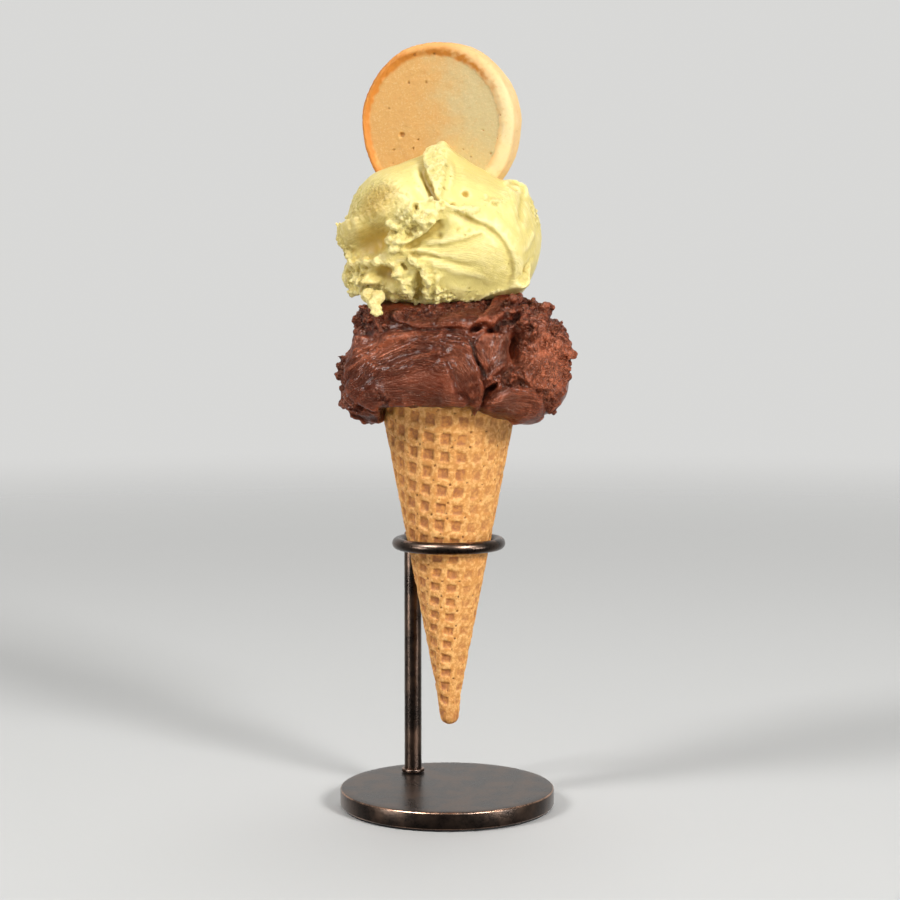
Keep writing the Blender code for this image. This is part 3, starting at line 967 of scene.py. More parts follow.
    def _rolled(self, slant: Array, turn: Array, proud: Array, share: Array) -> Array:
        """Rolls the sheet up.

        Args:
            slant: Distance from the cone's point.
            turn: Share of the way round.
            proud: Height over the sheet.
            share: Share of the way up.

        Returns:
            Points in millimetres.
        """
        flat_angle = self._seam(slant) + self.full_turn * turn
        azimuth = flat_angle / math.sin(self.taper)
        ragged = np.column_stack([9 * np.sin(azimuth), 9 * np.cos(azimuth), np.zeros_like(azimuth)])
        lift = 0.55 * self.grain.layered(ragged / 4.0, 3) * ease(share, 0.955, 1.0)
        radius = slant * math.sin(self.taper) + proud * math.cos(self.taper)
        height = self.apex_z + slant * math.cos(self.taper) - proud * math.sin(self.taper) + lift
        return np.column_stack([self.axis[0] + radius * np.sin(azimuth),
                                self.axis[1] - radius * np.cos(azimuth), height])

    def _round_nose(self, points: Array, past: Array) -> None:
        """Closes the rows below the tip into a rounded nose."""
        below = past > 0
        turn = np.clip(past, 0, 1) * math.pi / 2
        middle = np.array([*self.axis, 0.0])
        out = points - middle
        points[:, :2] = np.where(below[:, None], middle[:2] + out[:, :2] * np.cos(turn)[:, None],
                                 points[:, :2])
        points[:, 2] -= np.where(below, 0.95 * self.tip_radius * np.sin(turn), 0)

    def _fold_rim(self, points: Array, past: Array, rim: int, inner: int) -> None:
        """Rounds the rim over and runs the inside wall down to a closed end."""
        middle = np.array(self.axis)
        out = points[:, :2] - middle
        radius = np.hypot(out[:, 0], out[:, 1])
        on_rim = (past > 0) & (past <= rim)
        turn = np.clip(past / rim, 0, 1) * math.pi
        half = self.wall / 2
        rounded = radius - half + half * np.cos(turn)
        raised = points[:, 2] + 0.8 * np.sin(turn)
        down = np.clip((past - rim) / inner, 0, 1)
        depth = (self.mouth_z - self.tip_z - 2 * self.wall) * np.minimum(1, down * 1.15)
        inside = np.maximum(0.0, (radius - self.wall) - depth * math.tan(self.taper))
        inside = np.where(down >= 1, 0.0, inside)
        new_radius = np.where(on_rim, rounded, np.where(past > rim, inside, radius))
        new_height = points[:, 2] - np.where(past > rim, depth, 0.0)
        new_height = np.where(on_rim, raised, new_height)
        points[:, :2] = middle + out / np.maximum(radius, 1e-6)[:, None] * new_radius[:, None]
        points[:, 2] = new_height


# Gelato


class Side(Enum):
    """Which face of a scoop a mark is drawn on, as the sign of Y."""

    FRONT = -1.0
    BACK = 1.0


class ScoopForm:
    """The plain scoop, before the paddle's marks: an outline swept into a body."""

    def __init__(self, middle: Triple, depth: float,
                 fullness: Pair, outline: Path) -> None:
        """Keeps the sizes and smooths the outline.

        Args:
            middle: The scoop's middle.
            depth: How far it reaches towards the viewer and away.
            fullness: How boxy it is from the side, for its upper and lower half.
            outline: Degrees from +X towards +Z, and the radius there.
        """
        self.middle = np.array(middle)
        self.depth = depth
        self.fullness = fullness
        degrees, radii = zip(*outline)
        self.every = np.arange(360)
        plain = np.interp(self.every, degrees, radii, period=360)
        kernel = np.exp(-0.5 * (np.arange(-12, 13) / 4) ** 2)
        wrapped = np.concatenate([plain[-12:], plain, plain[:12]])
        self.radii = np.convolve(wrapped, kernel / kernel.sum(), mode="valid")

    def radius(self, angles: Array) -> Array:
        """The outline's radius at these angles."""
        return np.interp(np.degrees(angles), self.every, self.radii, period=360)

    def radial(self, points: Array) -> Array:
        """Each point's direction from the middle."""
        away = points - self.middle
        return away / np.linalg.norm(away, axis=1)[:, None]

    def surface(self, away: Array) -> Array:
        """Where rays from the middle leave the plain scoop.

        Args:
            away: Directions from the middle.

        Returns:
            Points measured from the middle.
        """
        side_on = np.hypot(away[:, 0], away[:, 2])
        across = side_on / self.radius(np.arctan2(away[:, 2], away[:, 0]))
        deep = np.abs(away[:, 1]) / self.depth
        upper, lower = self.fullness
        up = away[:, 2] / np.linalg.norm(away, axis=1)
        power = upper + (lower - upper) / (1 + np.exp(8 * up))
        return away / ((across**power + deep**power) ** (1 / power))[:, None]

    def on_face(self, path: Path, side: Side) -> Array:
        """Points of the plain scoop that lie behind these places in the front view.

        Args:
            path: x and z of each place.
            side: Which face they are on.

        Returns:
            Points in space.
        """
        rough = np.array(path, float) - self.middle[[0, 2]]
        inside = np.hypot(*rough.T) / self.radius(np.arctan2(rough[:, 1], rough[:, 0]))
        rough = rough * np.minimum(1.0, 0.985 / inside)[:, None]
        low, high = np.zeros(len(rough)), np.full(len(rough), 2.0)
        for _ in range(26):
            guess = (low + high) / 2
            ray = np.column_stack([rough[:, 0], side.value * guess * self.depth, rough[:, 1]])
            beyond = np.linalg.norm(ray, axis=1) > np.linalg.norm(self.surface(ray), axis=1)
            low, high = np.where(beyond, low, guess), np.where(beyond, guess, high)
        found = np.column_stack([rough[:, 0], side.value * low * self.depth, rough[:, 1]])
        return self.middle + found

    def drawn(self, path: Path, side: Side, closed: bool = False) -> Array:
        """A smooth line through these places, drawn on the plain scoop.

        Args:
            path: x and z of each place.
            side: Which face.
            closed: Whether it runs back to its start.

        Returns:
            Points about a millimetre and a half apart.
        """
        rough = np.array(path + (path[0],) if closed else path, float)
        steps = np.hypot(*np.diff(rough, axis=0).T)
        where = np.concatenate([[0], np.cumsum(steps)])
        count = max(4, int(where[-1] / 1.5))
        fine = np.linspace(0, where[-1], count + 1)
        line = np.column_stack([np.interp(fine, where, rough[:, i]) for i in (0, 1)])
        for _ in range(3):
            if closed:
                ring = line[:-1]
                ring = 0.5 * ring + 0.25 * (np.roll(ring, 1, 0) + np.roll(ring, -1, 0))
                line = np.vstack([ring, ring[:1]])
            else:
                line[1:-1] = 0.5 * line[1:-1] + 0.25 * (line[:-2] + line[2:])
        return self.on_face(tuple(map(tuple, line)), side)


class Skin:
    """A scoop's surface while the paddle's marks are pressed into it."""

    def __init__(self, form: ScoopForm, points: Array, outward: Array, grain: Grain) -> None:
        """Keeps the points and their outward directions.

        Args:
            form: The plain scoop.
            points: The surface's points.
            outward: Their outward directions.
            grain: The noise that everything ragged comes from.
        """
        self.form = form
        self.points = points
        self.outward = outward
        self.grain = grain
        self.shift = np.zeros_like(points)
        self.torn = np.zeros(len(points))

    def raise_by(self, chosen: Array, rise: Array) -> None:
        """Moves these points outwards."""
        self.shift[chosen] += rise[:, None] * self.outward[chosen]

    def tear(self, chosen: Array, lump: float, strength: Array, torn: Array) -> None:
        """Breaks these points up into lumps.

        Args:
            chosen: Which points.
            lump: Size of a lump.
            strength: Height of the lumps at each point.
            torn: How rough each point is left, from 0 to 1.
        """
        rise, drift = curd_relief(self.grain, self.points[chosen], lump, strength)
        self.shift[chosen] += rise[:, None] * self.outward[chosen] + drift
        self.torn[chosen] = np.maximum(self.torn[chosen], torn)

    def near(self, line: Array, reach: float) -> Array:
        """Indices of the points within reach of a line's box."""
        low, high = line.min(axis=0) - reach, line.max(axis=0) + reach
        return np.flatnonzero(((self.points > low) & (self.points < high)).all(axis=1))

    def read(self, line: Array, chosen: Array) -> tuple[Array, ...]:
        """How points lie beside a line.

        Args:
            line: The line's points.
            chosen: Which of the skin's points.

        Returns:
            Signed distance to the line's left as seen from outside, plain distance,
            share of the way along it, and the way to its left.
        """
        points, outward = self.points[chosen], self.outward[chosen]
        best = np.full(len(chosen), 1e9)
        aside, along = np.zeros(len(chosen)), np.zeros(len(chosen))
        left = np.zeros((len(chosen), 3))
        gone = 0.0
        for start, end in zip(line, line[1:]):
            size = float(np.linalg.norm(end - start))
            way = (end - start) / size
            share = np.clip((points - start) @ way, 0, size)
            off = points - start - share[:, None] * way
            off = off - (off * outward).sum(axis=1)[:, None] * outward
            far = np.linalg.norm(off, axis=1)
            closer = far < best
            toward = np.cross(outward[closer], way)
            toward /= np.linalg.norm(toward, axis=1)[:, None] + 1e-9
            best[closer] = far[closer]
            aside[closer] = far[closer] * np.sign((off[closer] * toward).sum(axis=1))
            along[closer] = gone + share[closer]
            left[closer] = toward
            gone += size
        return aside, best, along / gone, left


class PaddleMark(ABC):
    """Something the paddle left on a scoop."""

    @abstractmethod
    def press(self, skin: Skin) -> None:
        """Moves the skin's points and marks where they are torn."""


@dataclass(frozen=True)
class Layer(PaddleMark):
    """A layer that lies over its neighbour; it is on the left going along its edge.

    A negative height puts it on the right.
    """

    path: Path
    height: float
    reach: float = 8.0
    lip: float = 0.8
    ragged: float = 0.7
    crumble: float = 0.5
    lean: float = 0.5
    closed: bool = False
    free_ends: bool = False
    taper: float = 0.0
    side: Side = Side.FRONT

    def press(self, skin: Skin) -> None:
        """Raises the layer, rolls its edge over and tears it.

        Args:
            skin: The surface, changed in place.
        """
        line = skin.form.drawn(self.path, self.side, self.closed)
        half_across = float(np.ptp(line, axis=0).max()) / 2
        chosen = skin.near(line, half_across if self.closed else min(2.2 * self.reach, 40) + 3)
        aside, far, along, left = skin.read(line, chosen)
        aside = aside * math.copysign(1, self.height)
        left = left * math.copysign(1, self.height)
        spots = skin.points[chosen]
        grain = skin.grain
        wobble = grain.smooth(spots / 5.5) + 0.55 * grain.smooth(spots / 2.2 + 9)
        wobble += 0.3 * grain.smooth(spots / 1.1 + 4)
        aside = aside + self.ragged * wobble
        tall = abs(self.height) * (1 + 0.18 * grain.smooth(spots / 6.0 + 21))
        if self.closed:
            middle = line.mean(axis=0)
            widest = np.linalg.norm(line - middle, axis=1).max()
            tall = tall * ease(1.2 - np.linalg.norm(spots - middle, axis=1) / widest, 0.0, 0.15)
        elif not self.free_ends:
            tall = tall * ease(along, 0.0, 0.16) * ease(1 - along, 0.0, 0.16)
            tall = tall * bell(np.maximum(0, far - np.abs(aside) - 1.0), 2.5)
        step = ease(aside, -0.25 * self.lip, self.lip) ** 0.6
        fade = np.exp(-((np.maximum(aside, 0) / (self.reach * (1 - self.taper * along))) ** 2))
        rise = tall * step * fade
        cavity = 0.30 * tall * bell(aside + 0.8, 1.5) * (aside < 0.4)
        tear = bell(np.abs(aside - 0.8), 2.6) * self.crumble
        skin.raise_by(chosen, rise - cavity)
        over = self.lean * rise * bell(np.maximum(aside, 0), 2.2) * step
        skin.shift[chosen] -= over[:, None] * left
        skin.tear(chosen, 2.6, tear * 0.9, tear * np.minimum(1, tall / 1.5))


@dataclass(frozen=True)
class Ridge(PaddleMark):
    """A line drawn up out of the surface, or pressed into it."""

    path: Path
    height: float
    width: float = 1.0
    ragged: float = 0.4
    crumble: float = 0.0
    side: Side = Side.FRONT

    def press(self, skin: Skin) -> None:
        """Raises or presses the line.

        Args:
            skin: The surface, changed in place.
        """
        line = skin.form.drawn(self.path, self.side)
        chosen = skin.near(line, 3 * self.width + 2)
        aside, far, along, _ = skin.read(line, chosen)
        spots = skin.points[chosen]
        wobble = skin.grain.smooth(spots / 3.5 + 13) + 0.5 * skin.grain.smooth(spots / 1.5 + 3)
        far = np.abs(aside + self.ragged * wobble) + np.maximum(0, far - np.abs(aside))
        ends = ease(along, 0.0, 0.2) * ease(1 - along, 0.0, 0.2)
        rise = self.height * bell(far, self.width) * (0.25 + 0.75 * ends)
        rise = rise * (1 + 0.25 * skin.grain.smooth(spots / 4.0 + 2))
        skin.raise_by(chosen, rise)
        if self.crumble:
            tear = bell(far, self.width + 1.0) * self.crumble
            skin.tear(chosen, 2.2, tear, tear)


@dataclass(frozen=True)
class Swell(PaddleMark):
    """A rounded bulge, or a hollow."""

    at: Pair
    size: Pair
    height: float
    turn: float = 0.0
    steep: float = 2.0
    square: float = 2.0
    side: Side = Side.FRONT

    def away(self, skin: Skin) -> tuple[Array, Array]:
        """Indices of the points it reaches, and how far out each is, 1 at its border."""
        spot = skin.form.on_face((self.at,), self.side)
        chosen = skin.near(spot, 2.2 * max(self.size))
        off = skin.points[chosen] - spot
        turn = math.radians(self.turn)
        u = off[:, 0] * math.cos(turn) + off[:, 2] * math.sin(turn)
        v = -off[:, 0] * math.sin(turn) + off[:, 2] * math.cos(turn)
        w = off[:, 1] * 0.6
        flat = (np.abs(u / self.size[0]) ** self.square + np.abs(v / self.size[1]) ** self.square)
        return chosen, np.hypot(flat ** (1 / self.square), w / max(self.size))

    def press(self, skin: Skin) -> None:
        """Raises or hollows the surface.

        Args:
            skin: The surface, changed in place.
        """
        chosen, far = self.away(skin)
        far = far * (1 + 0.12 * skin.grain.smooth(skin.points[chosen] / 3.0 + 40))
        skin.raise_by(chosen, self.height * np.exp(-(far**self.steep)))


@dataclass(frozen=True)
class Curds(PaddleMark):
    """A crumbly zone of rounded lumps with dark gaps."""

    at: Pair
    size: Pair
    height: float = 1.4
    lump: float = 3.0
    turn: float = 0.0
    side: Side = Side.FRONT

    def press(self, skin: Skin) -> None:
        """Breaks the surface up.

        Args:
            skin: The surface, changed in place.
        """
        chosen, far = Swell(self.at, self.size, 1.0, self.turn, side=self.side).away(skin)
        ragged = skin.grain.smooth(skin.points[chosen] / 4.0 + 50)
        zone = ease(1.35 - far - 0.35 * ragged, 0.0, 0.7)
        skin.tear(chosen, self.lump, zone * self.height, zone)


@dataclass(frozen=True)
class Tuck(PaddleMark):
    """Draws the underside back behind the cone's rim."""

    across: Pair
    top: float
    radius: float
    axis: Pair = (0.9, 3.0)

    def press(self, skin: Skin) -> None:
        """Draws it back.

        Args:
            skin: The surface, changed in place.
        """
        spots = skin.points + skin.shift
        across = spots[:, 0] - self.axis[0]
        back = self.axis[1] - np.sqrt(np.maximum(0, self.radius**2 - across**2))
        edge = self.top + 0.5 * skin.grain.smooth(spots / 3.0)
        share = ease(edge - spots[:, 2], 0.0, 0.7) * ease(spots[:, 0] - self.across[0], -1, 1)
        share = share * ease(self.across[1] - spots[:, 0], -1, 1)
        skin.shift[:, 1] += np.maximum(0, back - spots[:, 1]) * share


@dataclass(frozen=True)
class Pit(PaddleMark):
    """A dark hole or an air bubble."""

    at: Pair
    size: float
    depth: float
    stretch: float = 1.0
    turn: float = 0.0
    side: Side = Side.FRONT

    def press(self, skin: Skin) -> None:
        """Sinks the hole, with steep sides.

        Args:
            skin: The surface, changed in place.
        """
        size = (self.size * self.stretch, self.size)
        chosen, far = Swell(self.at, size, 1.0, self.turn, side=self.side).away(skin)
        far = far * (1 + 0.3 * skin.grain.smooth(skin.points[chosen] / 1.8 + 60))
        skin.raise_by(chosen, -self.depth * ease(1.15 - far, 0.0, 0.5))


def curd_relief(grain: Grain, points: Array, lump: float, strength: Array) -> tuple[Array, Array]:
    """Rounded lumps with gaps between them.

    Args:
        grain: The noise.
        points: Where.
        lump: Size of a lump.
        strength: Height of the lumps at each point.

    Returns:
        How far each point rises, and how far it moves sideways as its lump swells.
    """
    rise = np.zeros(len(points))
    drift = np.zeros_like(points)
    active = strength > 0.02
    if not active.any():
        return rise, drift
    spots, power = points[active], strength[active]
    for size, share in ((lump, 1.0), (lump * 0.45, 0.42)):
        first, second, way, chance = grain.cells(spots / size + 100 * share)
        round_top = np.sqrt(np.clip(1 - (first / 0.95) ** 2, 0, 1))
        gap = bell(second - first, 0.15)
        rise[active] += power * share * (1.35 * round_top * (0.55 + 0.9 * chance) - 0.8 - 1.1 * gap)
        drift[active] += (power * share * 0.35)[:, None] * way * (1 - gap)[:, None]
    return rise, drift


@dataclass(frozen=True)
class Sweep:
    """Fine streaks the paddle dragged along a path."""

    path: Path
    width: float
    depth: float
    pitch: float = 1.3
    length: float = 16.0
    side: Side = Side.FRONT

    def streaks(self, skin: Skin, flow: Array) -> Array:
        """Height of the streaks at every point.

        Args:
            skin: The surface.
            flow: The strongest flow and its rival, then two coordinates; changed in place.

        Returns:
            Heights in millimetres.
        """
        line = skin.form.drawn(self.path, self.side)
        chosen = skin.near(line, 1.6 * self.width)
        aside, far, along, _ = skin.read(line, chosen)
        size = float(np.linalg.norm(np.diff(line, axis=0), axis=1).sum())
        strength = np.clip(1 - far / self.width, 0, 1) * min(1.0, 4 * self.depth)
        best = flow[chosen, 0]
        wins = strength > best
        rows = np.column_stack([strength, best, along * size / 9.0 + self.width, aside / 0.75])
        flow[chosen[wins]] = rows[wins]
        flow[chosen[~wins], 1] = np.maximum(flow[chosen, 1], strength)[~wins]
        run = along * size / self.length
        bent = aside + 0.5 * skin.grain.smooth(skin.points[chosen] / 7.0)
        coarse = np.column_stack([run, bent / self.pitch, np.full(len(run), self.width)])
        fine = np.column_stack([run * 2, bent / self.pitch * 2.3, np.full(len(run), 3.0)])
        sharp = 1 - 2.2 * np.abs(skin.grain.smooth(coarse))
        relief = 0.7 * sharp + 0.45 * skin.grain.smooth(fine)
        heights = np.zeros(len(skin.points))
        heights[chosen] = self.depth * relief * ease(1 - far / self.width, 0.0, 0.5)
        return heights


@dataclass(frozen=True)
class Pores:
    """A patch of small air holes."""

    at: Pair
    size: Pair
    hole: float = 0.45
    pitch: float = 2.2
    share: float = 0.6
    depth: float = 0.6
    side: Side = Side.FRONT

    def holes(self, skin: Skin) -> Array:
        """Depth of the holes at every point, from 0 to 1."""
        chosen, far = Swell(self.at, self.size, 1.0, side=self.side).away(skin)
        spots = skin.points[chosen]
        first, _, _, chance = skin.grain.cells(spots / self.pitch + 70)
        wide = self.hole / self.pitch * (0.6 + 0.9 * chance)
        depth = ease(wide - first, -0.1, 0.12) * (chance < self.share) * ease(1.3 - far, 0.0, 0.4)
        holes = np.zeros(len(skin.points))
        holes[chosen] = depth * self.depth
        return holes


@dataclass(frozen=True)
class Dab:
    """A lump or a drip that hangs off the scoop: places in space and radii there."""

    beads: tuple[tuple[float, float, float, float], ...]


@dataclass(frozen=True)
class Crumbs:
    """Loose-looking lumps stuck along a path, half sunk in the scoop."""

    path: Path
    count: int
    size: Pair
    spread: float
    out: float = 0.3
    seed: int = 1
    blocky: bool = False
    side: Side = Side.FRONT

    def beads(self, form: ScoopForm, plain: Array,
              pressed: Array) -> list[tuple[Array, float, Array, bool]]:
        """Place, radius, squash and squareness of every lump.

        Args:
            form: The scoop they stick to.
            plain: Points of the plain scoop.
            pressed: The same points once the paddle's marks are in.

        Returns:
            One entry for each lump.
        """
        draw = np.random.default_rng(self.seed)
        line = form.drawn(self.path, self.side)
        made = []
        for _ in range(self.count):
            spot = line[draw.integers(len(line))] + draw.normal(0, self.spread / 2, 3)
            size = draw.uniform(*self.size)
            away = spot - form.middle
            outward = away / np.linalg.norm(away)
            spot = form.middle + form.surface(away[None, :])[0]
            spot = pressed[((plain - spot) ** 2).sum(axis=1).argmin()] + outward * self.out * size
            made.append((spot, size, draw.uniform(0.7, 1.25, 3), self.blocky))
        return made


@dataclass
class Scoop:
    """One scoop of gelato, paddled on in layers."""

    name: str
    node: str
    slot: str
    form: ScoopForm
    finish: GelatoFinish
    marks: tuple[PaddleMark, ...]
    sweeps: tuple[Sweep, ...]
    pores: tuple[Pores, ...]
    dabs: tuple[Dab, ...] = ()
    crumbs: tuple[Crumbs, ...] = ()
    # Patches where the finish paints light and shade, partly the gelato's own tone.
    tint_and_light_patches: tuple[Swell, ...] = ()
    sink: float = 1.0
    voxel: float = 0.6
    seed: int = 3
    segments: int = 380
    rings: int = 250
    ripple: float = 0.3
    smoothing: int = 2

    def build(self) -> Object:
        """Makes and dresses the scoop.

        Returns:
            The piece.
        """
        grain = Grain(self.seed)
        body, plain, torn_at = self._paddled(grain)
        data = self._one_skin(body, self._lumps(plain, torn_at[0]))
        self._fine_marks(data, grain, torn_at)
        return add_piece(self.name, data, self.finish.made(), self.node, 180)

    def _paddled(self, grain: Grain) -> tuple[Mesh, Array, tuple[Array, Array]]:
        """The plain scoop with its layers raised.

        Args:
            grain: The noise.

        Returns:
            The mesh, its points before the marks, and its points with how torn they are.
        """
        data, column, row = grid_mesh(self.segments, self.rings)
        around = 2 * math.pi * column / self.segments
        rise = math.pi * (row / self.rings - 0.5)
        away = np.column_stack([np.cos(rise) * np.cos(around), np.cos(rise) * np.sin(around),
                                np.sin(rise)])
        move_vertices(data, away)
        weld(data, 1e-4)
        plain = self.form.middle + self.form.surface(vertex_points(data))
        move_vertices(data, plain)
        outward = vertex_normals(data)
        skin = Skin(self.form, plain, outward, grain)
        skin.shift = -self.sink * outward
        skin.shift += (self.ripple * grain.layered(plain / 8.0, 3))[:, None] * outward
        for mark in self.marks:
            mark.press(skin)
        move_vertices(data, plain + skin.shift)
        return data, plain, (plain + skin.shift, skin.torn)

    def _lumps(self, plain: Array, pressed: Array) -> BMesh:
        """The dabs, drips and crumbs that stick to the scoop.

        Args:
            plain: Points of the plain scoop.
            pressed: The same points once the paddle's marks are in.

        Returns:
            All of them, overlapping.
        """
        beads = [(np.array(bead[:3]), bead[3], np.ones(3), False)
                 for dab in self.dabs for bead in dab.beads]
        for crumbs in self.crumbs:
            beads += crumbs.beads(self.form, plain, pressed)
        mesh = bmesh.new()
        for place, radius, squash, blocky in beads:
            shape = Matrix.Translation(place) @ Matrix.Diagonal((*squash, 1.0))
            turned = Euler(tuple(4.0 * np.sin(7.0 * place))).to_matrix().to_4x4()
            shape = shape @ turned if blocky else shape
            made = bmesh.ops.create_icosphere(mesh, subdivisions=1 if blocky else 2, radius=radius)
            bmesh.ops.transform(mesh, matrix=shape, verts=made["verts"])
        return mesh

    def _one_skin(self, body: Mesh, lumps: BMesh) -> Mesh:
        """Fuses everything into one even skin.

        Args:
            body: The paddled scoop.
            lumps: What sticks to it, some of it overlapping.

        Returns:
            The fused mesh.
        """
        lumps.from_mesh(body)
        raw = loose_mesh(lumps, "raw")
        rough = placed("raw", raw)
        step = rough.modifiers.new("skin", "REMESH")
        step.mode = "VOXEL"
        step.voxel_size = self.voxel
        graph = bpy.context.evaluated_depsgraph_get()
        data = bpy.data.meshes.new_from_object(rough.evaluated_get(graph))
        bpy.data.objects.remove(rough)
        bpy.data.meshes.remove(raw)
        fused = bmesh.new()
        fused.from_mesh(data)
        for _ in range(self.smoothing):
            bmesh.ops.smooth_vert(fused, verts=fused.verts, factor=0.35, use_axis_x=True,
                                  use_axis_y=True, use_axis_z=True)
        fused.to_mesh(data)
        fused.free()
        return data

    def _fine_marks(self, data: Mesh, grain: Grain,
                    torn_at: tuple[Array, Array]) -> None:
        """Adds streaks, pores and grain, and stores what the finish reads.

        Args:
            data: The fused mesh.
            grain: The noise.
            torn_at: Points, and how torn the surface is there.
        """
        points, outward = vertex_points(data), vertex_normals(data)
        plain = self.form.middle + self.form.surface(points - self.form.middle)
        skin = Skin(self.form, plain, self.form.radial(points), grain)
        torn = self._carried(points, *torn_at)
        lift = np.zeros(len(points))
        flow = np.zeros((len(points), 4))
        for sweep in self.sweeps:
            lift += sweep.streaks(skin, flow) * (1 - torn)
        steady = ease(flow[:, 0], 0.0, 0.4) * ease(flow[:, 0] - flow[:, 1], 0.0, 0.12)
        holes = np.zeros(len(points))
        for patch in self.pores:
            holes = np.maximum(holes, patch.holes(skin))
        lift -= holes * 0.9
        lift += (0.05 + 0.12 * torn) * grain.layered(points / 1.5, 2)
        small = curd_relief(grain, points + 5.0, 1.7, 0.26 * torn)
        move_vertices(data, points + (lift + small[0])[:, None] * outward + small[1])
        # Strength of the painted light and tone patches at each point.
        tint_and_painted_light = np.zeros(len(points))
        for patch in self.tint_and_light_patches:
            chosen, far = patch.away(skin)
            tint_and_painted_light[chosen] = np.maximum(tint_and_painted_light[chosen], patch.height * np.exp(-(far**patch.steep)))
        # The crest and hollow marks set where the finish paints highlight on ridges and shade in
        # hollows.
        crest, hollow = self._crests(data)
        for name, values in (
            ("crest", crest - 0.6 * holes), ("hollow", hollow), ("torn", torn),
            ("flow", steady * (1 - 0.8 * torn)), ("flow_along", flow[:, 2]),
            ("flow_across", flow[:, 3]), ("tint_and_painted_light", tint_and_painted_light),
        ):
            store_mark(data, name, values)

    def _carried(self, points: Array, at: Array, torn: Array) -> Array:
        """Carries the torn marks over to the fused mesh, by nearness on a coarse grid."""
        size, across, unknown = 1.6, 96, 0.6
        low = np.minimum(points.min(axis=0), at.min(axis=0)) - size

        def cell_of(places: Array) -> Array:
            """Number of the grid's cell that each place is in."""
            steps = np.clip(((places - low) / size).astype(int), 0, across - 1)
            return np.ravel_multi_index(steps.T, (across,) * 3)

        known = cell_of(at)
        total = np.bincount(known, torn, across**3)
        count = np.bincount(known, minlength=across**3)
        found = cell_of(points)
        return np.where(count[found] > 0, total[found] / np.maximum(count[found], 1), unknown)

    def _crests(self, data: Mesh) -> tuple[Array, Array]:
        """How each point stands to its surroundings.

        Args:
            data: The finished mesh.

        Returns:
            How far it stands proud nearby, from about -1 to 1, and how deep it lies
            in a broad hollow, from 0 to 1.
        """
        points, outward = vertex_points(data), vertex_normals(data)
        near = even_out(data, points, 6)
        wide = even_out(data, near, 40)
        broadest = even_out(data, wide, 150)
        fine = ((points - near) * outward).sum(axis=1) / 0.14
        broad = ((near - wide) * outward).sum(axis=1) / 0.5
        crest = np.clip(even_out(data, 0.45 * fine + 0.55 * broad, 1), -1.2, 1.2)
        radial = self.form.radial(points)
        sunk = ((broadest - wide) * radial).sum(axis=1) + 0.6 * ((wide - near) * radial).sum(axis=1)
        return crest, np.clip(even_out(data, sunk / 1.4, 2) - 0.15, 0, 1)


